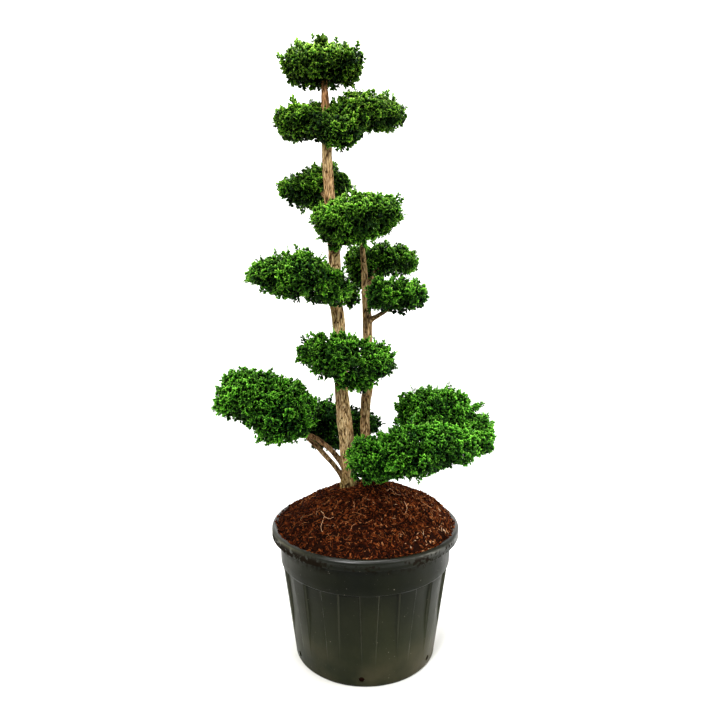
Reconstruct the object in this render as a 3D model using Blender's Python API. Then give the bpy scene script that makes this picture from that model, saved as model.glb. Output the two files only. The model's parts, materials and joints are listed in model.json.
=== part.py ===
"""Hinoki cypress trained as a cloud tree, in its round plastic nursery pot.

Metres, +Z up. The origin is the centre of the pot's underside. The front is -Y and +X is to the right.
The solids are the pot, the soil heaped in it, the tree's wood in one piece, and twelve foliage pads.
"""
import math
import random

import bmesh
import bpy
from mathutils import Matrix, Vector, noise

# Pot: driving sizes
POT_HEIGHT = 0.487
LIP_RADIUS = 0.342
LIP_DROP = 0.035
LIP_WALL = 0.0045
LIP_ROUND = 0.010
LIP_CREST_DROP = 0.011
LIP_INNER_RADIUS = 0.322
LIP_INNER_DROP = 0.0035
COLLAR_RADIUS = 0.3125
COLLAR_DROP = 0.133
COLLAR_TAPER = 0.002
COLLAR_STEP = 0.005
BODY_TOP_RADIUS = 0.306
BASE_RADIUS = 0.258
WALL = 0.0035
FLOOR_TOP = 0.012
FLOOR_UNDERSIDE = 0.008
FOOT_RING_WIDTH = 0.016
FOOT_CHAMFER = 0.006
CENTRE_DISC_RADIUS = 0.050

# Pot: inside of the mouth, where the wall turns out into the lip
MOUTH_DROP = 0.026
MOUTH_RADIUS = 0.3140
MOUTH_RIM_DROP = 0.0120

# Pot: tapered panels with shallow recesses between them
PANELS = 14
PANEL_AZIMUTH = math.radians(2.2)
PANEL_HALF_TOP = math.radians(5.6)
PANEL_HALF_BOTTOM = math.radians(3.9)
PANEL_FLANK = math.radians(1.2)
RECESS_DEPTH = 0.009
RECESS_BOTTOM = 0.060
RECESS_FULL_HEIGHT = 0.240

# Pot: drain holes
DRAIN_HOLES = 6
DRAIN_AZIMUTH = math.radians(-3.0)
DRAIN_RADIUS = 0.010
DRAIN_HEIGHT = 0.031
DRAIN_SIDES = 8
DRILL_REACH = 0.030

# Soil, with the mulch's lumps larger than life
SOIL_GAP = 0.0004
SOIL_EDGE_RADIUS = 0.3185
SOIL_EDGE_DROP = 0.0063
MOUND_OUTLINE = (
    (0.300, 0.511),
    (0.250, 0.541),
    (0.190, 0.571),
    (0.125, 0.599),
    (0.065, 0.615),
)
MOUND_TOP = 0.622
MOUND_LEAN = 0.010
MOUND_RELIEF = 0.012
MOUND_GRAIN = 38.0

# Wood: each stem is a list of centre points with the radius there
WOOD_GAP = 0.0005
BARK_RELIEF = 0.09
BARK_RIDGES = 5
BARK_SWIRL = 9.0
BARK_SWIRL_GRAIN = 4.0
STEM_STEP = 0.085
LIMB_STEP = 0.090
TRUNK_SIDES = 10
SLIM_TRUNK_SIDES = 8
LIMB_SIDES = 6

LEFT_TRUNK = (
    ((-0.055, 0.022, 0.520), 0.032),
    ((-0.062, 0.016, 0.600), 0.031),
    ((-0.062, 0.013, 0.640), 0.0285),
    ((-0.061, 0.009, 0.690), 0.0275),
    ((-0.068, 0.002, 0.790), 0.0270),
    ((-0.077, -0.004, 0.878), 0.0255),
    ((-0.083, -0.008, 0.950), 0.0245),
    ((-0.091, -0.010, 1.156), 0.0220),
    ((-0.097, -0.010, 1.240), 0.0225),
    ((-0.105, -0.010, 1.310), 0.0215),
    ((-0.109, -0.008, 1.455), 0.0205),
    ((-0.116, -0.006, 1.525), 0.0200),
    ((-0.126, -0.003, 1.675), 0.0175),
    ((-0.132, 0.000, 1.775), 0.0178),
    ((-0.132, 0.000, 1.850), 0.0172),
    ((-0.134, -0.004, 1.920), 0.0150),
    ((-0.138, -0.006, 1.985), 0.0130),
    ((-0.140, -0.002, 2.040), 0.0100),
    ((-0.139, 0.004, 2.090), 0.0060),
)
RIGHT_TRUNK = (
    ((0.000, 0.044, 0.520), 0.026),
    ((0.007, 0.045, 0.600), 0.024),
    ((0.008, 0.045, 0.650), 0.0195),
    ((0.002, 0.040, 0.776), 0.0172),
    ((-0.001, 0.035, 0.853), 0.0172),
    ((0.003, 0.030, 0.929), 0.0178),
    ((0.009, 0.025, 0.989), 0.0185),
    ((0.008, 0.020, 1.188), 0.0160),
    ((0.007, 0.020, 1.235), 0.0168),
    ((0.003, 0.020, 1.285), 0.0150),
    ((-0.002, 0.018, 1.367), 0.0115),
    ((-0.006, 0.010, 1.425), 0.0100),
    ((-0.012, -0.010, 1.480), 0.0085),
    ((-0.020, -0.055, 1.530), 0.0065),
    ((-0.024, -0.100, 1.565), 0.0045),
)
LIMBS = {
    "upper_left": (
        ((-0.130, 0.000, 1.830), 0.0090),
        ((-0.165, -0.008, 1.862), 0.0075),
        ((-0.225, -0.015, 1.885), 0.0050),
    ),
    "upper_right": (
        ((-0.132, 0.000, 1.845), 0.0095),
        ((-0.080, 0.004, 1.885), 0.0080),
        ((0.020, 0.000, 1.920), 0.0050),
    ),
    "back_left": (
        ((-0.121, 0.000, 1.630), 0.0100),
        ((-0.142, 0.045, 1.660), 0.0085),
        ((-0.175, 0.105, 1.695), 0.0070),
        ((-0.225, 0.125, 1.705), 0.0050),
    ),
    "front_mid": (
        ((-0.110, -0.008, 1.462), 0.0125),
        ((-0.092, -0.045, 1.482), 0.0110),
        ((-0.072, -0.090, 1.510), 0.0095),
        ((-0.040, -0.135, 1.560), 0.0060),
    ),
    "left_mid": (
        ((-0.103, -0.010, 1.290), 0.0125),
        ((-0.122, -0.050, 1.305), 0.0110),
        ((-0.160, -0.105, 1.340), 0.0090),
        ((-0.240, -0.120, 1.378), 0.0065),
    ),
    "back_right": (
        ((0.001, 0.020, 1.320), 0.0105),
        ((0.012, 0.055, 1.355), 0.0090),
        ((0.040, 0.105, 1.405), 0.0075),
        ((0.095, 0.130, 1.440), 0.0050),
    ),
    "right_mid": (
        ((0.006, 0.020, 1.212), 0.0100),
        ((0.022, 0.010, 1.228), 0.0085),
        ((0.043, -0.004, 1.240), 0.0080),
        ((0.070, -0.018, 1.258), 0.0075),
        ((0.125, -0.030, 1.295), 0.0050),
    ),
    "front_low": (
        ((-0.088, -0.012, 1.040), 0.0125),
        ((-0.085, -0.055, 1.055), 0.0110),
        ((-0.078, -0.100, 1.080), 0.0090),
        ((-0.055, -0.145, 1.110), 0.0060),
    ),
    "left_low_inner": (
        ((-0.066, 0.012, 0.672), 0.0135),
        ((-0.094, 0.000, 0.713), 0.0105),
        ((-0.117, -0.010, 0.746), 0.0092),
        ((-0.140, -0.020, 0.771), 0.0088),
        ((-0.163, -0.028, 0.792), 0.0088),
        ((-0.184, -0.035, 0.808), 0.0088),
        ((-0.222, -0.042, 0.828), 0.0084),
        ((-0.292, -0.050, 0.888), 0.0070),
        ((-0.380, -0.060, 0.945), 0.0050),
    ),
    "left_low_outer": (
        ((-0.066, 0.012, 0.625), 0.0130),
        ((-0.096, 0.004, 0.668), 0.0098),
        ((-0.121, 0.004, 0.701), 0.0090),
        ((-0.146, 0.006, 0.728), 0.0090),
        ((-0.175, 0.010, 0.760), 0.0088),
        ((-0.212, 0.014, 0.795), 0.0080),
        ((-0.255, 0.016, 0.860), 0.0070),
        ((-0.295, 0.018, 0.925), 0.0050),
    ),
    "back_low": (
        ((-0.056, 0.014, 0.640), 0.0150),
        ((-0.050, 0.050, 0.680), 0.0130),
        ((-0.060, 0.100, 0.730), 0.0115),
        ((-0.080, 0.150, 0.780), 0.0090),
        ((-0.130, 0.175, 0.805), 0.0060),
    ),
    "right_back": (
        ((0.010, 0.046, 0.655), 0.0140),
        ((0.065, 0.060, 0.705), 0.0125),
        ((0.130, 0.085, 0.765), 0.0115),
        ((0.200, 0.108, 0.835), 0.0095),
        ((0.330, 0.095, 0.865), 0.0055),
    ),
    "right_front": (
        ((0.008, 0.042, 0.632), 0.0150),
        ((0.046, -0.010, 0.672), 0.0130),
        ((0.095, -0.070, 0.722), 0.0115),
        ((0.160, -0.110, 0.765), 0.0095),
        ((0.270, -0.108, 0.785), 0.0070),
        ((0.370, -0.078, 0.790), 0.0045),
    ),
}
ROOT_CROWN = (
    ((-0.053, 0.016, 0.552), 0.032),
    ((-0.026, 0.030, 0.554), 0.031),
    ((0.002, 0.043, 0.552), 0.026),
)

# Foliage: each pad is a few rounded lobes, given as centre and half sizes
CORE_SHARE = 0.73
CORE_RELIEF = 0.11
CORE_LEAST = 0.03
FAN_ROOT = 0.48
FAN_REACH = 1.10
FAN_THICKNESS = 0.0060
FAN_CUP = 0.90
FAN_DROOP = 0.10
FAN_LEAST_WIDTH = 0.088
FAN_WIDEST = 1.20
FAN_KEEP_OUT = 0.98
FANS_LEAST = 5
FAN_TURN = math.radians(75)
FAN_LIFT = 0.05
FAN_STRAY = 0.22
FANS_PER_AREA = 93.0
SEED = 11

PADS = {
    "crown": (
        ((-0.158, 0.000, 2.077), (0.115, 0.115, 0.067)),
        ((-0.219, -0.030, 2.073), (0.057, 0.085, 0.060)),
        ((-0.069, -0.020, 2.082), (0.064, 0.085, 0.054)),
        ((-0.148, 0.060, 2.118), (0.104, 0.080, 0.063)),
        ((-0.150, 0.000, 2.157), (0.030, 0.030, 0.032)),
    ),
    "upper": (
        ((-0.226, -0.020, 1.890), (0.095, 0.105, 0.062)),
        ((-0.095, -0.060, 1.860), (0.100, 0.085, 0.061)),
        ((-0.005, -0.010, 1.931), (0.098, 0.105, 0.065)),
        ((0.077, 0.000, 1.918), (0.061, 0.080, 0.043)),
        ((-0.113, 0.050, 1.932), (0.119, 0.075, 0.048)),
    ),
    "back_left": (
        ((-0.227, 0.110, 1.696), (0.095, 0.100, 0.071)),
        ((-0.103, 0.110, 1.718), (0.058, 0.070, 0.053)),
        ((-0.172, 0.160, 1.712), (0.089, 0.080, 0.072)),
    ),
    "front_mid": (
        ((-0.110, -0.140, 1.555), (0.075, 0.090, 0.061)),
        ((-0.029, -0.150, 1.563), (0.094, 0.105, 0.079)),
        ((0.056, -0.130, 1.575), (0.069, 0.085, 0.064)),
        ((-0.082, -0.100, 1.507), (0.063, 0.060, 0.039)),
    ),
    "left_mid": (
        ((-0.298, -0.100, 1.382), (0.094, 0.120, 0.066)),
        ((-0.211, -0.130, 1.381), (0.089, 0.105, 0.085)),
        ((-0.119, -0.125, 1.339), (0.073, 0.085, 0.069)),
    ),
    "back_right": (
        ((0.075, 0.140, 1.442), (0.127, 0.100, 0.070)),
        ((-0.008, 0.130, 1.409), (0.071, 0.080, 0.078)),
        ((-0.056, 0.100, 1.309), (0.041, 0.045, 0.055)),
    ),
    "right_mid": (
        ((0.133, -0.050, 1.314), (0.090, 0.095, 0.069)),
        ((0.049, -0.070, 1.315), (0.058, 0.075, 0.061)),
    ),
    "front_low": (
        ((-0.089, -0.150, 1.111), (0.110, 0.115, 0.087)),
        ((-0.176, -0.140, 1.133), (0.060, 0.080, 0.047)),
        ((0.031, -0.130, 1.091), (0.074, 0.090, 0.064)),
        ((-0.029, -0.110, 1.027), (0.058, 0.055, 0.041)),
    ),
    "left_low": (
        ((-0.414, -0.070, 0.968), (0.112, 0.125, 0.096)),
        ((-0.294, -0.060, 0.898), (0.130, 0.125, 0.104)),
        ((-0.307, 0.020, 0.959), (0.091, 0.095, 0.070)),
    ),
    "back_low": (
        ((-0.161, 0.180, 0.802), (0.087, 0.090, 0.101)),
        ((-0.003, 0.180, 0.806), (0.071, 0.085, 0.060)),
        ((-0.083, 0.200, 0.789), (0.076, 0.085, 0.085)),
    ),
    "right_back": (
        ((0.228, 0.140, 0.862), (0.116, 0.110, 0.095)),
        ((0.312, 0.130, 0.868), (0.104, 0.105, 0.098)),
        ((0.414, 0.110, 0.802), (0.080, 0.085, 0.070)),
    ),
    "right_front": (
        ((0.019, -0.130, 0.752), (0.089, 0.095, 0.078)),
        ((0.135, -0.140, 0.780), (0.116, 0.110, 0.098)),
        ((0.255, -0.130, 0.798), (0.123, 0.105, 0.084)),
        ((0.383, -0.090, 0.801), (0.080, 0.075, 0.057)),
    ),
}


def clear_scene():
    for item in list(bpy.data.objects):
        bpy.data.objects.remove(item, do_unlink=True)


def material(name, colour, roughness):
    made = bpy.data.materials.new(name)
    made.use_nodes = True
    shader = made.node_tree.nodes["Principled BSDF"]
    shader.inputs["Base Color"].default_value = (*colour, 1.0)
    shader.inputs["Roughness"].default_value = roughness
    shader.inputs["Metallic"].default_value = 0.0
    return made


def mesh_object(name, points, faces, collection=None):
    mesh = bpy.data.meshes.new(name)
    mesh.from_pydata([tuple(p) for p in points], [], faces)
    mesh.validate()
    made = bpy.data.objects.new(name, mesh)
    (collection or bpy.context.scene.collection).objects.link(made)
    return made


def finish(made, paint, smooth_angle):
    made.data.materials.clear()
    made.data.materials.append(paint)
    made.data.shade_smooth()
    made.data.set_sharp_from_angle(angle=math.radians(smooth_angle))


def as_cutter(made):
    made.hide_render = True
    made.display_type = "WIRE"


def remove(made):
    bpy.data.objects.remove(made, do_unlink=True)


def apply_modifiers(made):
    """Swap the object's mesh for its evaluated one."""
    depsgraph = bpy.context.evaluated_depsgraph_get()
    evaluated = bpy.data.meshes.new_from_object(made.evaluated_get(depsgraph))
    made.modifiers.clear()
    made.data = evaluated


def join_collection(made, collection):
    """Fuse every object of the collection into one body, then drop the collection's objects."""
    union = made.modifiers.new("join", "BOOLEAN")
    union.operation = "UNION"
    union.operand_type = "COLLECTION"
    union.collection = collection
    apply_modifiers(made)
    for item in list(collection.objects):
        remove(item)
    bpy.data.collections.remove(collection)


def cut(made, cutter):
    difference = made.modifiers.new("cut", "BOOLEAN")
    difference.operation = "DIFFERENCE"
    difference.object = cutter
    apply_modifiers(made)


def new_collection(name):
    made = bpy.data.collections.new(name)
    bpy.context.scene.collection.children.link(made)
    return made


def keep_largest_body(made):
    """Drop the loose scraps that a cut leaves beside the main body."""
    work = bmesh.new()
    work.from_mesh(made.data)
    work.faces.ensure_lookup_table()
    left = set(work.faces)
    islands = []
    while left:
        island = {left.pop()}
        edge_of_search = list(island)
        while edge_of_search:
            face = edge_of_search.pop()
            for edge in face.edges:
                for other in edge.link_faces:
                    if other in left:
                        left.remove(other)
                        island.add(other)
                        edge_of_search.append(other)
        islands.append(island)
    islands.sort(key=len)
    for island in islands[:-1]:
        bmesh.ops.delete(work, geom=list(island), context="FACES")
    loose = [vert for vert in work.verts if not vert.link_faces]
    bmesh.ops.delete(work, geom=loose, context="VERTS")
    work.to_mesh(made.data)
    work.free()


def around(azimuth, radius, height):
    """A point at an azimuth measured from the front (-Y) towards +X."""
    return Vector((radius * math.sin(azimuth), -radius * math.cos(azimuth), height))


def body_radius(height):
    share = height / (POT_HEIGHT - COLLAR_DROP)
    return BASE_RADIUS + (BODY_TOP_RADIUS - BASE_RADIUS) * share


def panel_stations(height):
    """Azimuths round the pot, four to a panel, each with its share of the recess depth."""
    share = min(1.0, max(0.0, height / (POT_HEIGHT - COLLAR_DROP)))
    half = PANEL_HALF_BOTTOM + (PANEL_HALF_TOP - PANEL_HALF_BOTTOM) * share
    stations = []
    for index in range(PANELS):
        centre = PANEL_AZIMUTH + index * math.tau / PANELS
        stations.append((centre - half - PANEL_FLANK, 1.0))
        stations.append((centre - half, 0.0))
        stations.append((centre + half, 0.0))
        stations.append((centre + half + PANEL_FLANK, 1.0))
    return stations


def recess_at(height):
    """Depth of the recess: none at its foot, full in the upper half of the wall."""
    share = (height - RECESS_BOTTOM) / (RECESS_FULL_HEIGHT - RECESS_BOTTOM)
    return RECESS_DEPTH * min(1.0, max(0.0, share))


def ring(radius, height, recess=0.0):
    return [around(azimuth, radius - recess * share, height) for azimuth, share in panel_stations(height)]


def turned_solid(name, rings, bottom, top):
    """Close a stack of rings with a point at each end.

    Each four-sided patch is split the same way on both sides of the wall, which then never crosses itself.
    """
    count = len(rings[0])
    points = [point for one in rings for point in one]
    faces = []
    for level in range(len(rings) - 1):
        low = level * count
        high = low + count
        climbs = rings[level][0].z <= rings[level + 1][0].z
        for index in range(count):
            after = (index + 1) % count
            corners = (low + index, low + after, high + after, high + index)
            first = 0 if climbs else 1
            a, b, c, d = corners[first:] + corners[:first]
            faces.append((a, b, c))
            faces.append((a, c, d))
    points.append(Vector(bottom))
    points.append(Vector(top))
    last = (len(rings) - 1) * count
    for index in range(count):
        after = (index + 1) % count
        faces.append((after, index, len(points) - 2))
        faces.append((last + index, last + after, len(points) - 1))
    return mesh_object(name, points, faces)


def inner_outline(gap):
    """Inside of the pot from the floor up to the lip, as radius, height and recess, moved in by gap."""
    collar_foot = POT_HEIGHT - COLLAR_DROP
    outline = [(body_radius(FLOOR_TOP) - WALL - gap, FLOOR_TOP + gap, 0.0)]
    for height in (RECESS_BOTTOM, RECESS_FULL_HEIGHT, collar_foot - COLLAR_TAPER):
        outline.append((body_radius(height) - WALL - gap, height, recess_at(height)))
    outline.append((COLLAR_RADIUS - COLLAR_TAPER - WALL - gap, collar_foot + 2 * COLLAR_STEP, 0.0))
    outline.append((COLLAR_RADIUS - WALL - gap, POT_HEIGHT - MOUTH_DROP, 0.0))
    outline.append((MOUTH_RADIUS - gap, POT_HEIGHT - MOUTH_RIM_DROP + gap / 2, 0.0))
    return outline


def make_pot():
    collar_foot = POT_HEIGHT - COLLAR_DROP
    lip_foot = POT_HEIGHT - LIP_DROP
    foot_outer = BASE_RADIUS - FOOT_CHAMFER
    foot_inner = foot_outer - FOOT_RING_WIDTH
    outline = [
        (CENTRE_DISC_RADIUS, 0.0, 0.0),
        (CENTRE_DISC_RADIUS + FLOOR_UNDERSIDE, FLOOR_UNDERSIDE, 0.0),
        (foot_inner - FLOOR_UNDERSIDE, FLOOR_UNDERSIDE, 0.0),
        (foot_inner, 0.0, 0.0),
        (foot_outer, 0.0, 0.0),
        (body_radius(FOOT_CHAMFER), FOOT_CHAMFER, 0.0),
        (body_radius(RECESS_BOTTOM), RECESS_BOTTOM, 0.0),
        (body_radius(RECESS_FULL_HEIGHT), RECESS_FULL_HEIGHT, RECESS_DEPTH),
        (body_radius(collar_foot - COLLAR_STEP), collar_foot - COLLAR_STEP, RECESS_DEPTH),
        (COLLAR_RADIUS - COLLAR_TAPER, collar_foot, 0.0),
        (COLLAR_RADIUS, lip_foot - LIP_WALL + 2 * COLLAR_STEP, 0.0),
        (COLLAR_RADIUS + LIP_WALL, lip_foot + 4 * LIP_WALL, 0.0),
        (LIP_RADIUS - LIP_WALL, POT_HEIGHT - 2 * LIP_WALL, 0.0),
        (LIP_RADIUS - LIP_WALL, lip_foot, 0.0),
        (LIP_RADIUS, lip_foot, 0.0),
        (LIP_RADIUS, POT_HEIGHT - LIP_CREST_DROP, 0.0),
        (LIP_RADIUS - LIP_ROUND, POT_HEIGHT, 0.0),
        (LIP_INNER_RADIUS, POT_HEIGHT - LIP_INNER_DROP, 0.0),
    ]
    outline += reversed(inner_outline(0.0))
    rings = [ring(radius, height, recess) for radius, height, recess in outline]
    pot = turned_solid("pot", rings, (0, 0, 0), (0, 0, FLOOR_TOP))
    holes = new_collection("holes")
    for index in range(DRAIN_HOLES):
        azimuth = DRAIN_AZIMUTH + index * math.tau / DRAIN_HOLES
        ends = [around(azimuth, BASE_RADIUS + reach, DRAIN_HEIGHT) for reach in (-DRILL_REACH, DRILL_REACH)]
        drill = tube("drill", ends, [DRAIN_RADIUS] * 2, DRAIN_SIDES, 0.0, holes)
        as_cutter(drill)
    drills = pot.modifiers.new("drain", "BOOLEAN")
    drills.operation = "DIFFERENCE"
    drills.operand_type = "COLLECTION"
    drills.collection = holes
    apply_modifiers(pot)
    for drill in list(holes.objects):
        remove(drill)
    bpy.data.collections.remove(holes)
    finish(pot, material("pot_plastic", (0.045, 0.055, 0.045), 0.55), 35)
    return pot


def make_soil(stems):
    """Root ball that fills the pot, with the mulch heaped above the lip and holes for the stems."""
    rings = [ring(radius, height, recess) for radius, height, recess in inner_outline(SOIL_GAP)]
    rings.append(ring(SOIL_EDGE_RADIUS, POT_HEIGHT - SOIL_EDGE_DROP))
    for radius, height in MOUND_OUTLINE:
        level = []
        for point in ring(radius, height):
            bump = MOUND_RELIEF * noise.noise(point * MOUND_GRAIN)
            lean = MOUND_LEAN * point.x / SOIL_EDGE_RADIUS
            level.append(point + Vector((0, 0, bump + lean)))
        rings.append(level)
    floor = FLOOR_TOP + SOIL_GAP
    soil = turned_solid("soil", rings, (0, 0, floor), (0, 0, MOUND_TOP))
    cut(soil, stems)
    keep_largest_body(soil)
    finish(soil, material("mulch", (0.09, 0.032, 0.014), 0.95), 60)
    return soil


def catmull(points, share):
    """A point on the smooth curve through four points, between the middle two."""
    before, start, end, after = points
    return 0.5 * ((2 * start) + (end - before) * share
                  + (2 * before - 5 * start + 4 * end - after) * share ** 2
                  + (3 * start - before - 3 * end + after) * share ** 3)


def smooth_route(stem, step):
    """Centres and radii along a smooth curve through a stem's points, about one step apart."""
    centres = [Vector(point) for point, radius in stem]
    radii = [radius for point, radius in stem]
    route = []
    for index in range(len(centres) - 1):
        four = [centres[max(0, index - 1)], centres[index], centres[index + 1],
                centres[min(len(centres) - 1, index + 2)]]
        pieces = max(1, round((centres[index + 1] - centres[index]).length / step))
        for piece in range(pieces):
            share = piece / pieces
            radius = radii[index] + (radii[index + 1] - radii[index]) * share
            route.append((catmull(four, share), radius))
    route.append((centres[-1], radii[-1]))
    return [centre for centre, radius in route], [radius for centre, radius in route]


def tube(name, centres, radii, sides, relief, collection, seed=0.0):
    """A closed tube along the centres, its section carried along without twist."""
    points = []
    aside = None
    for index, centre in enumerate(centres):
        ahead = centres[min(index + 1, len(centres) - 1)]
        behind = centres[max(index - 1, 0)]
        along = (ahead - behind).normalized()
        if aside is None:
            aside = along.orthogonal().normalized()
        aside = (aside - along * aside.dot(along)).normalized()
        across = along.cross(aside)
        swirl = BARK_SWIRL * noise.noise(Vector((seed, 0.0, centre.z * BARK_SWIRL_GRAIN)))
        for side in range(sides):
            turn = side * math.tau / sides
            radius = radii[index] * (1.0 + relief * math.sin(turn * BARK_RIDGES + swirl))
            points.append(centre + (aside * math.cos(turn) + across * math.sin(turn)) * radius)
    faces = []
    for level in range(len(centres) - 1):
        for side in range(sides):
            after = (side + 1) % sides
            low = level * sides
            faces.append((low + side, low + after, low + sides + after))
            faces.append((low + side, low + sides + after, low + sides + side))
    last = (len(centres) - 1) * sides
    faces.append(tuple(reversed(range(sides))))
    faces.append(tuple(range(last, last + sides)))
    return mesh_object(name, points, faces, collection)


def stem_tube(name, stem, step, sides, relief, swell, collection, seed=0.0):
    """The tube along one stem, made wider and longer all round by swell."""
    centres, radii = smooth_route(stem, step)
    centres[0] = centres[0] + (centres[0] - centres[1]).normalized() * swell
    centres[-1] = centres[-1] + (centres[-1] - centres[-2]).normalized() * swell
    swollen = [radius + swell for radius in radii]
    return tube(name, centres, swollen, sides, relief, collection, seed)


def make_wood(name, swell):
    """Root crown, both trunks and every limb as one body, all swollen by a clearance when it is a cutter."""
    limbs = new_collection("limbs")
    trunk = stem_tube(name, LEFT_TRUNK, STEM_STEP, TRUNK_SIDES, BARK_RELIEF, swell,
                      bpy.context.scene.collection, seed=1.0)
    stem_tube("right", RIGHT_TRUNK, STEM_STEP, SLIM_TRUNK_SIDES, BARK_RELIEF, swell, limbs, seed=2.0)
    stem_tube("root", ROOT_CROWN, LIMB_STEP, LIMB_SIDES, 0.0, swell, limbs)
    for stem in LIMBS.values():
        stem_tube("limb", stem, LIMB_STEP, LIMB_SIDES, 0.0, swell, limbs)
    join_collection(trunk, limbs)
    return trunk


def fan_outline(length, width):
    """Open fan of a cypress spray: slim root, then three lobes with a notch between each."""
    right = [(0.09, 0.00), (0.54, 0.76), (0.19, 0.78)]
    tip = [(0.0, 1.02)]
    left = [(-across, along) for across, along in reversed(right)]
    return [(across * width, along * length) for across, along in right + tip + left]


def make_fan(root, growth, face, length, width, collection):
    """A lobed fan that thins out from its middle to its rim, bent a little so its tips droop."""
    side = growth.cross(face).normalized()
    up = side.cross(growth).normalized()
    rim = []
    for across, along in fan_outline(length, width):
        droop = FAN_CUP * across * across / width + FAN_DROOP * along * along / length
        rim.append(root + side * across + growth * along - up * droop)
    middle = root + growth * length / 2
    points = rim + [middle + up * FAN_THICKNESS, middle - up * FAN_THICKNESS]
    count = len(rim)
    faces = []
    for index in range(count):
        after = (index + 1) % count
        faces.append((index, after, count))
        faces.append((after, index, count + 1))
    return mesh_object("fan", points, faces, collection)


def inside(point, lobe, share):
    centre, half = lobe
    offset = [(point[axis] - centre[axis]) / (half[axis] * share) for axis in range(3)]
    return sum(value * value for value in offset) < 1.0


def lobe_reach(start, direction, lobe, share):
    """How far a ray runs before it last leaves a lobe, or None where it misses."""
    centre, half = lobe
    scaled_start = [(start[axis] - centre[axis]) / (half[axis] * share) for axis in range(3)]
    scaled_way = [direction[axis] / (half[axis] * share) for axis in range(3)]
    square = sum(value * value for value in scaled_way)
    mixed = sum(one * two for one, two in zip(scaled_start, scaled_way))
    constant = sum(value * value for value in scaled_start) - 1.0
    root = mixed * mixed - square * constant
    if root <= 0.0:
        return None
    far = (-mixed + math.sqrt(root)) / square
    return far if far > 0.0 else None


def make_core(name, lobes, draw):
    """The dense inside of a pad: a rugged ball that keeps well within the lobes' own surface."""
    weights = [half[0] * half[1] * half[2] for centre, half in lobes]
    total = sum(weights)
    middle = Vector((0, 0, 0))
    for (centre, half), weight in zip(lobes, weights):
        middle += Vector(centre) * (weight / total)
    spread = Vector([max(abs(centre[axis] - middle[axis]) + half[axis] for centre, half in lobes)
                     for axis in range(3)])
    work = bmesh.new()
    bmesh.ops.create_icosphere(work, subdivisions=2, radius=1.0)
    for vert in work.verts:
        direction = Vector([vert.co[axis] * spread[axis] for axis in range(3)]).normalized()
        share = CORE_SHARE + draw.uniform(-CORE_RELIEF, CORE_RELIEF)
        reaches = [lobe_reach(middle, direction, lobe, share) for lobe in lobes]
        reach = max((value for value in reaches if value), default=CORE_LEAST)
        vert.co = middle + direction * reach
    mesh = bpy.data.meshes.new(name)
    work.to_mesh(mesh)
    work.free()
    core = bpy.data.objects.new(name, mesh)
    bpy.context.scene.collection.objects.link(core)
    return core


def lobe_fans(lobes, index, draw):
    """Root, tip and outward direction of each fan of one lobe, spread evenly over the lobe.

    A fan runs from well inside the core out to the lobe's own surface, and leans upwards on the way.
    Fans that would end inside another lobe are left out.
    """
    centre, half = (Vector(value) for value in lobes[index])
    area = 4.0 * math.pi * (half.x * half.y + half.x * half.z + half.y * half.z) / 3.0
    count = max(FANS_LEAST, round(FANS_PER_AREA * area))
    others = [lobe for number, lobe in enumerate(lobes) if number != index]
    found = []
    for step in range(count):
        height = 1.0 - 2.0 * (step + 0.5) / count
        level = math.sqrt(1.0 - height * height)
        turn = step * math.pi * (3.0 - math.sqrt(5.0)) + index
        start = Vector((level * math.cos(turn), level * math.sin(turn), height))
        stray = Vector((draw.uniform(-1, 1), draw.uniform(-1, 1), draw.uniform(-1, 1))) * FAN_STRAY
        end = (start + Vector((0, 0, FAN_LIFT)) + stray).normalized()
        tip = centre + Vector([end[axis] * half[axis] * FAN_REACH for axis in range(3)])
        if any(inside(tip, lobe, FAN_KEEP_OUT) for lobe in others):
            continue
        root = centre + Vector([start[axis] * half[axis] * FAN_ROOT for axis in range(3)])
        outward = Vector([end[axis] / half[axis] for axis in range(3)]).normalized()
        found.append((root, tip, outward))
    return found


def make_pad(name, lobes, stems, draw):
    """A foliage pad: fans of every lobe, rooted in one dense core, cut clear of the wood."""
    core = make_core(name, lobes, draw)
    fans = new_collection(name + "_fans")
    for index in range(len(lobes)):
        for root, tip, outward in lobe_fans(lobes, index, draw):
            growth = (tip - root).normalized()
            length = (tip - root).length
            width = max(FAN_LEAST_WIDTH, length * draw.uniform(1.0, FAN_WIDEST))
            face = Matrix.Rotation(draw.uniform(-FAN_TURN, FAN_TURN), 3, growth) @ outward
            make_fan(root, growth, face, length, width, fans)
    join_collection(core, fans)
    cut(core, stems)
    keep_largest_body(core)
    finish(core, material(name + "_green", (0.045, 0.16, 0.025), 0.6), 30)
    return core


def main():
    clear_scene()
    draw = random.Random(SEED)
    stems = make_wood("stem_clearance", WOOD_GAP)
    as_cutter(stems)
    wood = make_wood("wood", 0.0)
    finish(wood, material("bark", (0.33, 0.21, 0.12), 0.85), 50)
    make_pot()
    make_soil(stems)
    for name, lobes in PADS.items():
        make_pad("foliage_" + name, lobes, stems, draw)
    remove(stems)


main()
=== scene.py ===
"""Looks of the hinoki cypress cloud tree: fine sprays, fissured bark, shredded mulch and a dusty pot.

Metres, +Z up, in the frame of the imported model. The front is -Y and +X is to the right.
"""
import json
import math
import random

import bmesh
import bpy
import numpy as np
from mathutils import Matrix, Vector, noise

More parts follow.
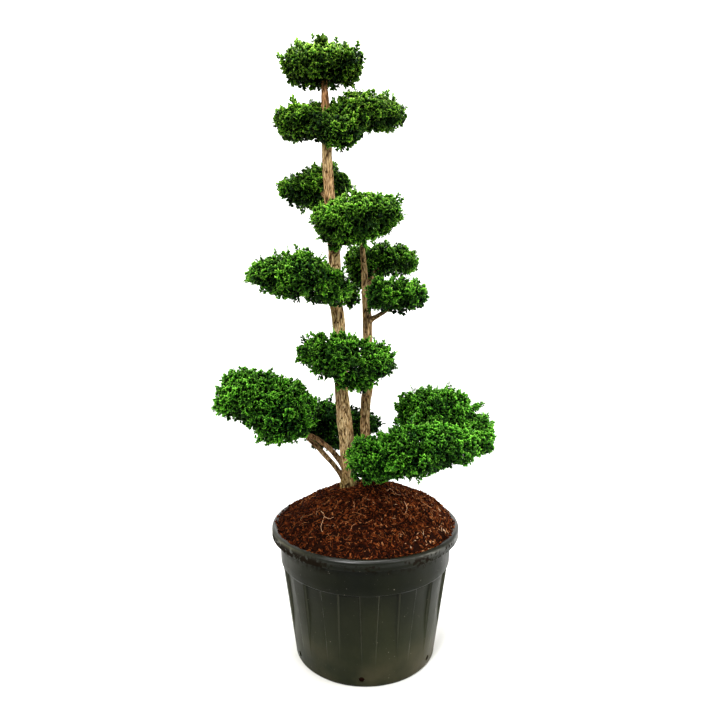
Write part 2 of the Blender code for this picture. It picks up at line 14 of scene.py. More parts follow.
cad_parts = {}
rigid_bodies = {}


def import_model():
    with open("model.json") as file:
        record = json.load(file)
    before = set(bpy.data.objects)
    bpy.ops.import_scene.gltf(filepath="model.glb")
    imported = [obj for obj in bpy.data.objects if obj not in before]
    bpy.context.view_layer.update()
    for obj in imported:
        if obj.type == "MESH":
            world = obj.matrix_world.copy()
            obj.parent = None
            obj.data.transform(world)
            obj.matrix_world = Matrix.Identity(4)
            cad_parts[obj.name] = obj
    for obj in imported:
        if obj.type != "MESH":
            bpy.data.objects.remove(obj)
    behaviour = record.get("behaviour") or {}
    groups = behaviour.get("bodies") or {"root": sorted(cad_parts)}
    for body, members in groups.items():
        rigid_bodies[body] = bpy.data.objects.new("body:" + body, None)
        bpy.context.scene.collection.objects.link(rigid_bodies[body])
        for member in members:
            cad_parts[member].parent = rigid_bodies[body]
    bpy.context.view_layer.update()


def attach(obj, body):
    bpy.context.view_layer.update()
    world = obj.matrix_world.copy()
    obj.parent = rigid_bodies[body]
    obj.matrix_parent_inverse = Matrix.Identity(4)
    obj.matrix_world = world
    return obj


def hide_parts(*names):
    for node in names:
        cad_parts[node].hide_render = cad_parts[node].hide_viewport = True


# Camera, fitted to the rings of the pot and to the trunk
CAMERA_PLACE = (-0.019, -2.10, 1.34)
CAMERA_PITCH = math.radians(7.0)
CAMERA_LENS = 29.5
SENSOR_WIDTH = 36.0

# Lamps: name, place, target, size, power and colour
WHITE = (1.0, 1.0, 1.0)
LAMPS = (
    ("key", (-1.3, -3.1, 3.2), (0.0, 0.0, 1.2), (1.0, 1.0), 165.0, WHITE),
    ("fill", (2.2, -2.6, 2.6), (0.0, 0.0, 1.1), (1.2, 1.6), 45.0, WHITE),
    ("top", (0.0, -0.3, 4.2), (0.0, 0.0, 1.0), (1.6, 1.6), 120.0, WHITE),
    ("left_edge", (-2.4, 0.3, 0.9), (0.0, 0.0, 0.5), (0.7, 1.8), 34.0, (1.0, 0.95, 0.60)),
    ("right_edge", (2.4, -0.7, 0.8), (0.0, 0.0, 0.4), (0.8, 1.6), 66.0, (1.0, 0.98, 0.86)),
    ("sweep", (0.0, 1.2, 4.8), (0.0, 3.6, 1.0), (5.0, 1.2), 260.0, WHITE),
)
SKY_STRENGTH = 0.12

# Floor: flat from front to back, then a bend up to the rise, and wider the further back
FLOOR_FRONT = -1.3
FLOOR_BACK = 2.2
FLOOR_BEND = 1.4
FLOOR_BEND_ANGLES = np.radians(np.linspace(10, 90, 12))
FLOOR_RISE = 5.5
FLOOR_HALF_WIDTH = 1.7
FLOOR_SPLAY = 0.8

# Pot, with the same driving sizes as the solid
POT_HEIGHT = 0.487
LIP_RADIUS = 0.342
LIP_DROP = 0.035
LIP_WALL = 0.0045
COLLAR_RADIUS = 0.3125
COLLAR_DROP = 0.133
COLLAR_LEDGE = 0.0045
MOUTH_DROP = 0.026
BODY_TOP_RADIUS = 0.306
BASE_RADIUS = 0.258
WALL = 0.0035
FLOOR_TOP = 0.012
PANELS = 14
PANEL_AZIMUTH = math.radians(2.2)
PANEL_HALF_TOP = math.radians(5.6)
PANEL_HALF_BOTTOM = math.radians(3.9)
PANEL_FLANK = math.radians(1.0)
RECESS_DEPTH = 0.009
RECESS_BOTTOM = 0.060
RECESS_FULL_HEIGHT = 0.240
DRAIN_HOLES = 6
DRAIN_AZIMUTH = math.radians(-3.0)
DRAIN_RADIUS = 0.010
DRAIN_HEIGHT = 0.031
DRILL_REACH = 0.030
DRILL_SIDES = 28
SHARP_EDGE = math.radians(50)
PANEL_EDGE_STEPS = 10
BESIDE_PANEL = (0.035, 0.070)

# Pot's section in short rows, each a distance out and a height from the place named
FOOT_ROWS = ((0.050, 0.0), (0.058, 0.008), (0.228, 0.008), (0.236, 0.0))
FOOT_EDGE_ROWS = ((-0.006, 0.0), (-0.0025, 0.0012))
COLLAR_FOOT_ROWS = ((-0.0045, 0.0025), (-0.0027, 0.0045), (-0.0018, 0.0085), (-0.0012, 0.030))
UNDER_LIP_ROWS = ((0.0, 0.004), (0.002, 0.013), (0.0065, 0.020), (0.014, 0.0245))
LIP_BACK_ROWS = ((-0.003, 0.0255), (0.0, 0.0225), (0.0, 0.003), (0.0012, 0.0006))
LIP_EDGE_ROWS = ((-0.0012, 0.0), (-0.0002, 0.0016))
MOUTH_ROWS = ((0.3245, -0.0010), (0.3200, -0.0042), (0.3140, -0.0118))
LIP_ROUNDING = (0.012, 0.0125)
LIP_ANGLES = np.radians((0, 18, 36, 54, 72, 90))

# Rows of the pot's wall: how far they keep from the floor and the collar, and how many there are
FOOT_CURVE = (0.0003, 0.0045)
LEDGE_CURVE = (0.0012, 0.0015)
LEDGE_RECESS = 0.8
WALL_START = 0.012
WALL_MARGIN = 0.010
WALL_ROWS = 26
INSIDE_START = 0.006
INSIDE_MARGIN = 0.002
INSIDE_ROWS = 10
INSIDE_CURVE = 0.004

# Soil: the turned plug in the pot and the heap on it, each as radius and height
SOIL_EDGE_RADIUS = 0.3185
SOIL_EDGE_HEIGHT = 0.4815
SOIL_PLUG = ((0.2500, 0.0126), (0.2560, 0.022), (0.2572, 0.040), (0.2580, 0.055), (0.2660, 0.120),
             (0.2800, 0.240), (0.2920, 0.350), (0.3060, 0.380), (0.3080, 0.455))
MOUND_OUTLINE = ((0.3, 0.508), (0.25, 0.538), (0.19, 0.568), (0.125, 0.596), (0.065, 0.613), (0.0, 0.619))
SOIL_SIDES = 150
SOIL_RINGS = 55
MOUND_LEAN = 0.010
MOUND_WAVES = ((24.0, 3.0, 0.6), (75.0, 9.0, 0.4))
MOUND_WAVE_HEIGHT = 0.010
MOUND_EDGE = 0.03
STRAY_RADIUS = 0.3275
SOIL_TONE = 0.22
SOIL_TONE_STRAY = 0.16
SOIL_GRAIN = 110.0

# Loose bark: the ranges of half length, width and thickness, the stray of a corner, and the range of tones
BLOCK_CORNERS = [(x, y, z) for z in (-1, 1) for y in (-1, 1) for x in (-1, 1)]
BLOCK_FACES = ((0, 2, 3), (0, 3, 1), (4, 5, 7), (4, 7, 6), (0, 1, 5), (0, 5, 4),
               (2, 6, 7), (2, 7, 3), (0, 4, 6), (0, 6, 2), (1, 3, 7), (1, 7, 5))
CHUNKS = {"count": 5400, "sizes": ((0.0022, 0.0072), (0.0011, 0.0030), (0.0009, 0.0022)),
          "stray": (-0.38, 0.25), "tones": (0.0, 0.95), "corners": BLOCK_CORNERS, "faces": BLOCK_FACES}
POINTED_CORNERS = ((-1, 0, 0), (1, 0, 0), (0, -1, 0), (0, 1, 0), (0, 0, -1), (0, 0, 1))
POINTED_FACES = ((1, 3, 5), (3, 0, 5), (0, 2, 5), (2, 1, 5), (3, 1, 4), (0, 3, 4), (2, 0, 4), (1, 2, 4))
SLIVERS = {"count": 6600, "sizes": ((0.004, 0.013), (0.0008, 0.0019), (0.0006, 0.0013)),
           "stray": (-0.2, 0.2), "tones": (0.25, 1.0), "corners": POINTED_CORNERS, "faces": POINTED_FACES}
LOOSE_SINK = (-0.001, 0.0045)
LOOSE_TILT = 0.30
LOOSE_TONES = (1.6, 2.0)
SLOPE_STEP = 0.004
# Painted light: loose pieces are drawn lighter towards the right side of the heap
PAINTED_LIGHT_RIGHT = 0.08
STRANDS = 300
STRAND_POINTS = 6
STRAND_STEP = 0.008
STRAND_STRETCH = (0.6, 1.3)
STRAND_BEND = 0.45
STRAND_MARGIN = 0.035
STRAND_LIFT = 0.0035
STRAND_LIFTS = (-0.001, 0.002)
STRAND_SIDES = 4
STRAND_RADII = (0.0004, 0.0008)
STRAND_TONES = (0.55, 0.97)
ROOTLETS = (
    (((-0.155, -0.117), (-0.142, -0.158), (-0.151, -0.190), (-0.144, -0.217)), 0.0014),
    (((-0.142, -0.158), (-0.125, -0.170), (-0.108, -0.168)), 0.0011),
    (((0.078, -0.045), (0.094, -0.030), (0.110, -0.054), (0.128, -0.056)), 0.0012),
    (((0.137, -0.090), (0.145, -0.120), (0.136, -0.154)), 0.0011),
)
ROOTLET_STEP = 0.006
ROOTLET_SIDES = 6
ROOTLET_LIFT = 0.0045
ROOTLET_END = 0.55
ROOTLET_TONE = 0.97

# Wood: each row is a point on the stem's middle with the radius there
LEFT_TRUNK = (
    (-0.055, 0.022, 0.52, 0.032), (-0.062, 0.016, 0.6, 0.031), (-0.062, 0.013, 0.64, 0.0285),
    (-0.061, 0.009, 0.69, 0.0275), (-0.068, 0.002, 0.79, 0.027), (-0.077, -0.004, 0.878, 0.0255),
    (-0.083, -0.008, 0.95, 0.0245), (-0.091, -0.01, 1.156, 0.022), (-0.097, -0.01, 1.24, 0.0225),
    (-0.105, -0.01, 1.31, 0.0215), (-0.109, -0.008, 1.455, 0.0205), (-0.116, -0.006, 1.525, 0.02),
    (-0.126, -0.003, 1.675, 0.0175), (-0.132, 0.0, 1.775, 0.0178), (-0.132, 0.0, 1.85, 0.0172),
    (-0.134, -0.004, 1.92, 0.015), (-0.138, -0.006, 1.985, 0.013), (-0.14, -0.002, 2.04, 0.01),
    (-0.139, 0.004, 2.09, 0.006),
)
RIGHT_TRUNK = (
    (0.0, 0.044, 0.52, 0.026), (0.007, 0.045, 0.6, 0.024), (0.008, 0.045, 0.65, 0.0195),
    (0.002, 0.04, 0.776, 0.0172), (-0.001, 0.035, 0.853, 0.0172), (0.003, 0.03, 0.929, 0.0178),
    (0.009, 0.025, 0.989, 0.0185), (0.008, 0.02, 1.188, 0.016), (0.007, 0.02, 1.235, 0.0168),
    (0.003, 0.02, 1.285, 0.015), (-0.002, 0.018, 1.367, 0.0115), (-0.006, 0.01, 1.425, 0.01),
    (-0.012, -0.01, 1.48, 0.0085), (-0.02, -0.055, 1.53, 0.0065), (-0.024, -0.1, 1.565, 0.0045),
)
LIMBS = {
    "upper_left": ((-0.13, 0.0, 1.83, 0.009), (-0.165, -0.008, 1.862, 0.0075),
        (-0.225, -0.015, 1.885, 0.005)),
    "upper_right": ((-0.132, 0.0, 1.845, 0.0095), (-0.08, 0.004, 1.885, 0.008), (0.02, 0.0, 1.92, 0.005)),
    "back_left": ((-0.121, 0.0, 1.63, 0.01), (-0.142, 0.045, 1.66, 0.0085), (-0.175, 0.105, 1.695, 0.007),
        (-0.225, 0.125, 1.705, 0.005)),
    "front_mid": ((-0.11, -0.008, 1.462, 0.0125), (-0.092, -0.045, 1.482, 0.011),
        (-0.072, -0.09, 1.51, 0.0095), (-0.04, -0.135, 1.56, 0.006)),
    "left_mid": ((-0.103, -0.01, 1.29, 0.0125), (-0.122, -0.05, 1.305, 0.011),
        (-0.16, -0.105, 1.34, 0.009), (-0.24, -0.12, 1.378, 0.0065)),
    "back_right": ((0.001, 0.02, 1.32, 0.0105), (0.012, 0.055, 1.355, 0.009), (0.04, 0.105, 1.405, 0.0075),
        (0.095, 0.13, 1.44, 0.005)),
    "right_mid": ((0.006, 0.02, 1.212, 0.01), (0.022, 0.01, 1.228, 0.0085), (0.043, -0.004, 1.24, 0.008),
        (0.07, -0.018, 1.258, 0.0075), (0.125, -0.03, 1.295, 0.005)),
    "front_low": ((-0.088, -0.012, 1.04, 0.0125), (-0.085, -0.055, 1.055, 0.011),
        (-0.078, -0.1, 1.08, 0.009), (-0.055, -0.145, 1.11, 0.006)),
    "left_low_inner": ((-0.066, 0.012, 0.672, 0.0135), (-0.094, 0.0, 0.713, 0.0105),
        (-0.117, -0.01, 0.746, 0.0092), (-0.14, -0.02, 0.771, 0.0088), (-0.163, -0.028, 0.792, 0.0088),
        (-0.184, -0.035, 0.808, 0.0088), (-0.222, -0.042, 0.828, 0.0084), (-0.292, -0.05, 0.888, 0.007),
        (-0.38, -0.06, 0.945, 0.005)),
    "left_low_outer": ((-0.066, 0.012, 0.625, 0.013), (-0.096, 0.004, 0.668, 0.0098),
        (-0.121, 0.004, 0.701, 0.009), (-0.146, 0.006, 0.728, 0.009), (-0.175, 0.01, 0.76, 0.0088),
        (-0.212, 0.014, 0.795, 0.008), (-0.255, 0.016, 0.86, 0.007), (-0.295, 0.018, 0.925, 0.005)),
    "back_low": ((-0.056, 0.014, 0.64, 0.015), (-0.05, 0.05, 0.68, 0.013), (-0.06, 0.1, 0.73, 0.0115),
        (-0.08, 0.15, 0.78, 0.009), (-0.13, 0.175, 0.805, 0.006)),
    "right_back": ((0.01, 0.046, 0.655, 0.014), (0.065, 0.06, 0.705, 0.0125), (0.13, 0.085, 0.765, 0.0115),
        (0.2, 0.108, 0.835, 0.0095), (0.33, 0.095, 0.865, 0.0055)),
    "right_front": ((0.008, 0.042, 0.632, 0.015), (0.046, -0.01, 0.672, 0.013),
        (0.095, -0.07, 0.722, 0.0115), (0.16, -0.11, 0.765, 0.0095), (0.27, -0.108, 0.785, 0.007),
        (0.37, -0.078, 0.79, 0.0045)),
}
ROOT_CROWN = (
    (-0.053, 0.016, 0.552, 0.032), (-0.026, 0.03, 0.554, 0.031), (0.002, 0.043, 0.552, 0.026),
)

# How each stem is drawn: step along it, sides, how much it widens at its root, and how much painted shade
# darkens it
LEFT_TRUNK_MESH = (0.0042, 84, 0.0, 0.0)
RIGHT_TRUNK_MESH = (0.0045, 60, 0.0, 0.58)
ROOT_CROWN_MESH = (0.006, 48, 0.0, 0.0)
LIMB_MESH = (0.006, 26, 0.55, 0.85)
FLARE_LENGTH = 0.028

# Bark: plates per metre round and along a stem, how deep the fissures are, and the knots with their radii
BARK_PLATE = 135.0
BARK_PLATE_LENGTH = 24.0
BARK_DEPTH = 0.10
BARK_LEVEL = 0.6
BARK_SWAY = 0.35
BARK_SWAY_WAVE = 30.0
SPLIT_SHARPNESS = 7.0
CRACK_WAVE = 2.1
CRACK_SHARPNESS = 5.0
GRAIN_WAVE = 4.0
PLATE_HEIGHT = 0.82
SPLIT_DEPTH = 0.85
CRACK_DEPTH = 0.38
GRAIN_DEPTH = 0.30
STEM_WAVE = 17.0
STEM_WAVE_DEPTH = 0.10
STEM_SHIFT = 3.7
CRACK_SWAY = 1.2
CRACK_SWAY_WAVE = 0.6
KNOTS = (
    (-0.079, -0.032, 0.918, 0.01), (0.003, 0.004, 1.182, 0.01), (-0.105, -0.028, 1.335, 0.009),
    (-0.125, -0.016, 1.64, 0.008),
)
KNOT_HEIGHT = 0.35
KNOT_CORE = 1.25
KNOT_FADE = 2.0

# Foliage: rosettes of small sprays stand close together on the rounded lobes of each pad
SEED = 23
TUFTS_PER_AREA = 1450.0
SPRAYS_IN_TUFT = 7
CAPS_IN_TUFT = 2
CAP_LEANS = (0.0, 0.40)
TUFT_SPREAD = math.radians(42)
SIDE_LEANS = (0.65, 1.15)
TURN_STRAY = 0.35
FACE_STRAY = 0.35
ROOT_STRAY = 0.003
ROOT_DEPTH = 0.55
SPRAY_SIZES = (0.75, 1.20)
DIRECTION_STRAY = 0.225

# Sprays: one unit long, with twigs in pairs that get shorter towards the end
SHELL_LENGTH = 0.025
SHELL = {"pairs": 2, "reach": 0.68, "spread": math.radians(56), "closing": 1.0, "twig": 0.6, "width": 0.32,
         "end": 0.6, "shoulder": 0.75, "taper": 0.35}
SHELL_KINDS = 9
FROND_LENGTH = 0.044
FROND = {"pairs": 4, "reach": 0.78, "spread": math.radians(56), "closing": 0.4, "twig": 0.44, "width": 0.16,
         "end": 0.95, "shoulder": 0.6, "taper": 0.7}
FROND_KINDS = 4
FROND_SHARE = 0.34
FROND_CLIMB = 0.16
STALK = 0.06
START_STRAY = 0.03
ANGLE_STRAY = 0.12
END_STRAY = 0.1
TWIG_LENGTHS = (0.85, 1.15)
TWIG_LIFTS = (0.04, 0.20)
END_LIFT = 0.12
TWIG_ROOT = 0.10
TWIG_ROOT_RISE = 0.40
TWIG_TIPS = (0.82, 1.0)
END_TIPS = (0.35, 1.0)
MIDDLE_SHARE = 0.62
CUPS = (0.20, 0.80)
CURLS = (-0.30, 0.30)
KITE = ((0, 3, 2), (0, 2, 1), (0, 1, 3), (2, 3, 1))

# Pads' skin: how it is lumped, how deep a rosette sits, and where neighbouring lobes hide it
MELD = 6.0
MELD_TURNS = 4
MELD_LIMIT = 1.2
LUMP_WAVES = ((10.0, 0.022), (26.0, 0.016))
LUMP_LIFT = 0.006
HIGHEST_LUMP = 0.013
TUFT_DEPTHS = (0.0, 0.025)
TUFT_INSET = 0.013
HIDDEN_SHARE = 0.80
AXIS_STRAY = 0.22
UPTURN = 0.38
UPTURN_BELOW = 0.10
UPTURN_FROM = -0.25
CORE_SHARE = 0.64
CORE_STRAY = 0.07

# Tone of a spray, from zero for a dark one to one for a bright one: painted light and shade with some random
# stray
PAD_LIGHT = 0.54
SPRIG_LIGHT = 0.75
LIGHT_PER_HEIGHT = 36.0
LIGHT_STRAY = 0.20
SKY_LIGHT = 0.12
UNDERSIDE = -0.35
UNDERSIDE_SHADE = 0.22
CAP_GLOW = 0.20
SIDE_SHADE = 0.10
TONE_STRAY = 0.22
PAD_SHADE = {"upper": 0.1, "back_left": 0.13, "front_mid": 0.06, "left_mid": 0.2, "back_right": 0.15,
             "right_mid": 0.35, "front_low": 0.07, "back_low": 1.0, "right_back": 0.06, "right_front": 0.13}

# Each pad is a few rounded lobes: three numbers for the centre, then three half sizes
PADS = {
    "crown": ((-0.158, 0.0, 2.077, 0.115, 0.115, 0.067), (-0.219, -0.03, 2.073, 0.057, 0.085, 0.06),
        (-0.069, -0.02, 2.082, 0.064, 0.085, 0.054), (-0.148, 0.06, 2.118, 0.104, 0.08, 0.063),
        (-0.15, 0.0, 2.157, 0.03, 0.03, 0.032)),
    "upper": ((-0.226, -0.02, 1.89, 0.095, 0.105, 0.062), (-0.095, -0.06, 1.86, 0.1, 0.085, 0.061),
        (-0.005, -0.01, 1.931, 0.098, 0.105, 0.065), (0.077, 0.0, 1.918, 0.061, 0.08, 0.043),
        (-0.113, 0.05, 1.932, 0.119, 0.075, 0.048)),
    "back_left": ((-0.227, 0.11, 1.696, 0.095, 0.1, 0.071), (-0.103, 0.11, 1.718, 0.058, 0.07, 0.053),
        (-0.172, 0.16, 1.712, 0.089, 0.08, 0.072)),
    "front_mid": ((-0.11, -0.14, 1.555, 0.075, 0.09, 0.061), (-0.029, -0.15, 1.563, 0.094, 0.105, 0.079),
        (0.056, -0.13, 1.575, 0.069, 0.085, 0.064), (-0.082, -0.1, 1.507, 0.063, 0.06, 0.039)),
    "left_mid": ((-0.298, -0.1, 1.382, 0.094, 0.12, 0.066), (-0.211, -0.13, 1.381, 0.089, 0.105, 0.085),
        (-0.119, -0.125, 1.339, 0.073, 0.085, 0.069)),
    "back_right": ((0.075, 0.14, 1.442, 0.127, 0.1, 0.07), (-0.008, 0.13, 1.409, 0.071, 0.08, 0.078),
        (-0.056, 0.1, 1.309, 0.041, 0.045, 0.055)),
    "right_mid": ((0.133, -0.05, 1.314, 0.09, 0.095, 0.069), (0.049, -0.07, 1.315, 0.058, 0.075, 0.061)),
    "front_low": ((-0.089, -0.15, 1.111, 0.11, 0.115, 0.087), (-0.176, -0.14, 1.133, 0.06, 0.08, 0.047),
        (0.031, -0.13, 1.091, 0.074, 0.09, 0.064), (-0.029, -0.11, 1.027, 0.058, 0.055, 0.041)),
    "left_low": ((-0.414, -0.07, 0.968, 0.112, 0.125, 0.096), (-0.294, -0.06, 0.898, 0.13, 0.125, 0.104),
        (-0.307, 0.02, 0.959, 0.091, 0.095, 0.07)),
    "back_low": ((-0.161, 0.18, 0.802, 0.087, 0.09, 0.101), (-0.003, 0.18, 0.806, 0.071, 0.085, 0.06),
        (-0.083, 0.2, 0.789, 0.076, 0.085, 0.085)),
    "right_back": ((0.228, 0.14, 0.862, 0.116, 0.11, 0.095), (0.312, 0.13, 0.868, 0.104, 0.105, 0.098),
        (0.414, 0.11, 0.802, 0.08, 0.085, 0.07)),
    "right_front": ((0.019, -0.13, 0.752, 0.089, 0.095, 0.078), (0.135, -0.14, 0.78, 0.116, 0.11, 0.098),
        (0.255, -0.13, 0.798, 0.123, 0.105, 0.084), (0.383, -0.09, 0.801, 0.08, 0.075, 0.057)),
}

# Sprigs that stick out of the pads: depth, then across and height at the start and at the tip
SPRIG_TUFTS = 5
SPRIG_TIP_SHARE = 0.45
SPRIGS = {
    "crown": ((0.0, -0.083, 2.131, -0.053, 2.163), (0.0, -0.029, 2.083, 0.001, 2.073),
        (-0.03, -0.069, 2.047, -0.046, 2.031), (-0.03, -0.252, 2.11, -0.265, 2.132)),
    "upper": ((0.0, 0.001, 1.977, 0.025, 2.006), (0.0, 0.107, 1.951, 0.141, 1.944),
        (0.0, 0.087, 1.964, 0.103, 1.98), (-0.02, -0.245, 1.932, -0.258, 1.958),
        (-0.02, -0.181, 1.938, -0.191, 1.967), (0.0, 0.111, 1.918, 0.131, 1.915)),
    "back_left": ((0.11, -0.299, 1.714, -0.325, 1.711), (0.12, -0.19, 1.758, -0.176, 1.78)),
    "front_mid": ((-0.13, 0.095, 1.582, 0.131, 1.562), (-0.13, 0.085, 1.601, 0.115, 1.613)),
    "left_mid": ((-0.1, -0.365, 1.388, -0.392, 1.382), (-0.1, -0.337, 1.422, -0.353, 1.438)),
    "back_right": ((0.13, 0.171, 1.46, 0.201, 1.482), (0.13, 0.164, 1.442, 0.19, 1.435)),
    "right_mid": ((-0.05, 0.192, 1.328, 0.219, 1.325), (-0.05, 0.182, 1.29, 0.206, 1.277)),
    "front_low": ((-0.14, -0.206, 1.13, -0.233, 1.146), (-0.13, 0.085, 1.078, 0.116, 1.071),
        (-0.13, 0.062, 1.108, 0.082, 1.125)),
    "left_low": ((-0.07, -0.509, 0.921, -0.548, 0.914), (-0.07, -0.497, 0.975, -0.532, 0.978),
        (-0.08, -0.473, 1.008, -0.497, 1.026), (-0.08, -0.434, 1.033, -0.444, 1.057),
        (-0.05, -0.388, 1.035, -0.391, 1.06), (0.0, -0.25, 0.999, -0.228, 1.017),
        (0.0, -0.225, 0.973, -0.206, 0.991)),
    "back_low": ((0.18, 0.048, 0.773, 0.068, 0.757), (0.18, 0.024, 0.818, 0.044, 0.826)),
    "right_back": ((0.12, 0.313, 0.944, 0.328, 0.983), (0.13, 0.158, 0.892, 0.135, 0.908),
        (0.13, 0.203, 0.935, 0.192, 0.966), (0.12, 0.248, 0.952, 0.251, 0.979),
        (0.11, 0.431, 0.892, 0.461, 0.911)),
    "right_front": ((-0.09, 0.434, 0.823, 0.463, 0.819), (-0.09, 0.428, 0.783, 0.452, 0.765),
        (-0.07, 0.416, 0.879, 0.433, 0.907), (-0.13, -0.036, 0.745, -0.057, 0.759)),
}


def unit(rows):
    """Each row scaled to length one."""
    return rows / np.maximum(np.linalg.norm(rows, axis=-1, keepdims=True), 1e-9)


def joined(parts):
    """Several shapes as one; each is its points, its triangles and the named values on its points."""
    points = np.concatenate([part[0] for part in parts])
    firsts = np.cumsum([0] + [len(part[0]) for part in parts[:-1]])
    triangles = np.concatenate([part[1] + first for part, first in zip(parts, firsts)])
    values = {key: np.concatenate([part[2][key] for part in parts]) for key in parts[0][2]}
    return points, triangles, values


def linked(name, data):
    """A new object in the scene."""
    made = bpy.data.objects.new(name, data)
    bpy.context.scene.collection.objects.link(made)
    return made


def mesh_piece(name, points, triangles, paints, values=None, paint_of=None, smooth=False):
    """An object from arrays of points and triangles, with named values kept on its points."""
    mesh = bpy.data.meshes.new(name)
    mesh.vertices.add(len(points))
    mesh.vertices.foreach_set("co", np.asarray(points, dtype=np.float32).ravel())
    mesh.loops.add(3 * len(triangles))
    mesh.loops.foreach_set("vertex_index", np.asarray(triangles, dtype=np.int32).ravel())
    mesh.polygons.add(len(triangles))
    mesh.polygons.foreach_set("loop_start", np.arange(0, 3 * len(triangles), 3, dtype=np.int32))
    mesh.update(calc_edges=True)
    for key, numbers in (values or {}).items():
        layer = mesh.attributes.new(key, "FLOAT", "POINT")
        layer.data.foreach_set("value", np.asarray(numbers, dtype=np.float32).ravel())
    for paint in paints:
        mesh.materials.append(paint)
    if paint_of is not None:
        mesh.polygons.foreach_set("material_index", np.asarray(paint_of, dtype=np.int32))
    if smooth:
        mesh.shade_smooth()
    return linked(name, mesh)


def stand_for(piece, node):
    """Hide the plain solid behind its detailed piece."""
    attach(piece, "root")
    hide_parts(node)


def new_material(name):
    made = bpy.data.materials.new(name)
    made.use_nodes = True
    return made, made.node_tree, made.node_tree.nodes["Principled BSDF"]


def feed(tree, given, socket):
    """Link another socket to this one, or set it to a plain number, vector or colour."""
    if hasattr(given, "links"):
        tree.links.new(given, socket)
    elif socket.type == "RGBA":
        socket.default_value = (*given, 1.0)
    else:
        socket.default_value = given


def add_node(tree, kind, inputs=None, **settings):
    """A new node with its settings and inputs; an input is a socket or a plain value."""
    node = tree.nodes.new("ShaderNode" + kind)
    for key, given in settings.items():
        setattr(node, key, given)
    for key, given in (inputs or {}).items():
        feed(tree, given, node.inputs[key])
    return node


def set_surface(tree, shader, colour, roughness, specular):
    """What every surface here has, each from a socket or the same all over."""
    feed(tree, colour, shader.inputs["Base Color"])
    feed(tree, roughness, shader.inputs["Roughness"])
    feed(tree, specular, shader.inputs["Specular IOR Level"])


def value_of(tree, name):
    """The named value kept on the mesh's points."""
    return add_node(tree, "Attribute", attribute_name=name).outputs["Fac"]


def ramp(tree, source, stops):
    """Colour from a number between zero and one."""
    node = add_node(tree, "ValToRGB", {"Fac": source})
    elements = node.color_ramp.elements
    while len(elements) < len(stops):
        elements.new(0.5)
    for element, (place, colour) in zip(elements, stops):
        element.position = place
        element.color = (*colour, 1.0)
    return node.outputs["Color"]


def own_place(tree, stretch):
    """Place in the object's own metres, stretched along the axes."""
    place = add_node(tree, "TexCoord").outputs["Object"]
    return add_node(tree, "Mapping", {"Vector": place, "Scale": stretch}).outputs["Vector"]


def noise_of(tree, scale, detail=4.0, stretch=(1.0, 1.0, 1.0)):
    place = own_place(tree, stretch)
    return add_node(tree, "TexNoise", {"Vector": place, "Scale": scale, "Detail": detail}).outputs["Fac"]


def cracks_of(tree, scale, stretch, width):
    """One in the cracks between long uneven plates, falling to zero at a share of a plate from them."""
    place = own_place(tree, stretch)
    sway = add_node(tree, "TexNoise", {"Vector": place, "Scale": scale * CRACK_SWAY_WAVE}).outputs["Color"]
    reach = (CRACK_SWAY / scale,) * 3
    bent = add_node(tree, "VectorMath", {0: sway, 1: reach, 2: place}, operation="MULTIPLY_ADD").outputs[0]
    cells = add_node(tree, "TexVoronoi", {"Vector": bent, "Scale": scale}, feature="DISTANCE_TO_EDGE")
    return spread_over(tree, cells.outputs["Distance"], 0.0, width, 1.0, 0.0)


def mixed(tree, share, first, second, kind="MIX"):
    """Two colours mixed; share, first and second are sockets or plain values."""
    inputs = {0: share, 6: first, 7: second}
    return add_node(tree, "Mix", inputs, data_type="RGBA", blend_type=kind).outputs[2]


def tinted(tree, colour, tint):
    """A colour multiplied by another, or by a number."""
    return mixed(tree, 1.0, colour, tint, "MULTIPLY")


def reckon(tree, kind, first, second):
    """One step of arithmetic on two numbers, each a socket or a plain value."""
    return add_node(tree, "Math", {0: first, 1: second}, operation=kind).outputs[0]


def times(tree, first, second):
    return reckon(tree, "MULTIPLY", first, second)


def spread_over(tree, source, low, high, to_low=0.0, to_high=1.0):
    """Spread the range from low to high over another range, and hold it there."""
    inputs = {"Value": source, "From Min": low, "From Max": high, "To Min": to_low, "To Max": to_high}
    return add_node(tree, "MapRange", inputs).outputs["Result"]


def height_of(tree):
    place = add_node(tree, "NewGeometry").outputs["Position"]
    return add_node(tree, "SeparateXYZ", {0: place}).outputs["Z"]


def bump(tree, shader, source, strength, distance):
    node = add_node(tree, "Bump", {"Height": source, "Strength": strength, "Distance": distance})
    feed(tree, node.outputs["Normal"], shader.inputs["Normal"])


def foliage_material():
    """Green from near black at the sprays' roots, a painted shade, to yellow-green at the tips, partly new
    growth and partly painted light.
    """
    made, tree, shader = new_material("cypress_green")
    tip = value_of(tree, "tip")
    new_and_lit_green = ramp(tree, tip, (
        (0.00, (0.001, 0.002, 0.001)), (0.45, (0.004, 0.020, 0.001)), (0.68, (0.040, 0.165, 0.005)),
        (0.84, (0.180, 0.440, 0.020)), (0.97, (0.540, 0.780, 0.120))))
    old_and_shaded_green = ramp(tree, tip, (
        (0.00, (0.001, 0.001, 0.001)), (0.55, (0.001, 0.006, 0.001)), (1.00, (0.010, 0.052, 0.004))))
    # The tone blends the shaded and lit greens: painted light and shade, with some random stray
    colour = mixed(tree, value_of(tree, "tone"), old_and_shaded_green, new_and_lit_green)
    low = tinted(tree, colour, (0.90, 1.30, 1.25))
    high = tinted(tree, colour, (1.00, 0.92, 1.00))
    colour = mixed(tree, spread_over(tree, height_of(tree), 0.9, 2.0), low, high)
    patches = spread_over(tree, noise_of(tree, 12.0), 0.35, 0.70, 0.70, 1.15)
    scales = spread_over(tree, noise_of(tree, 170.0, 3.0), 0.38, 0.62, 0.58, 1.32)
    colour = tinted(tree, tinted(tree, colour, patches), scales)
    set_surface(tree, shader, colour, 0.45, 0.08)
    return made


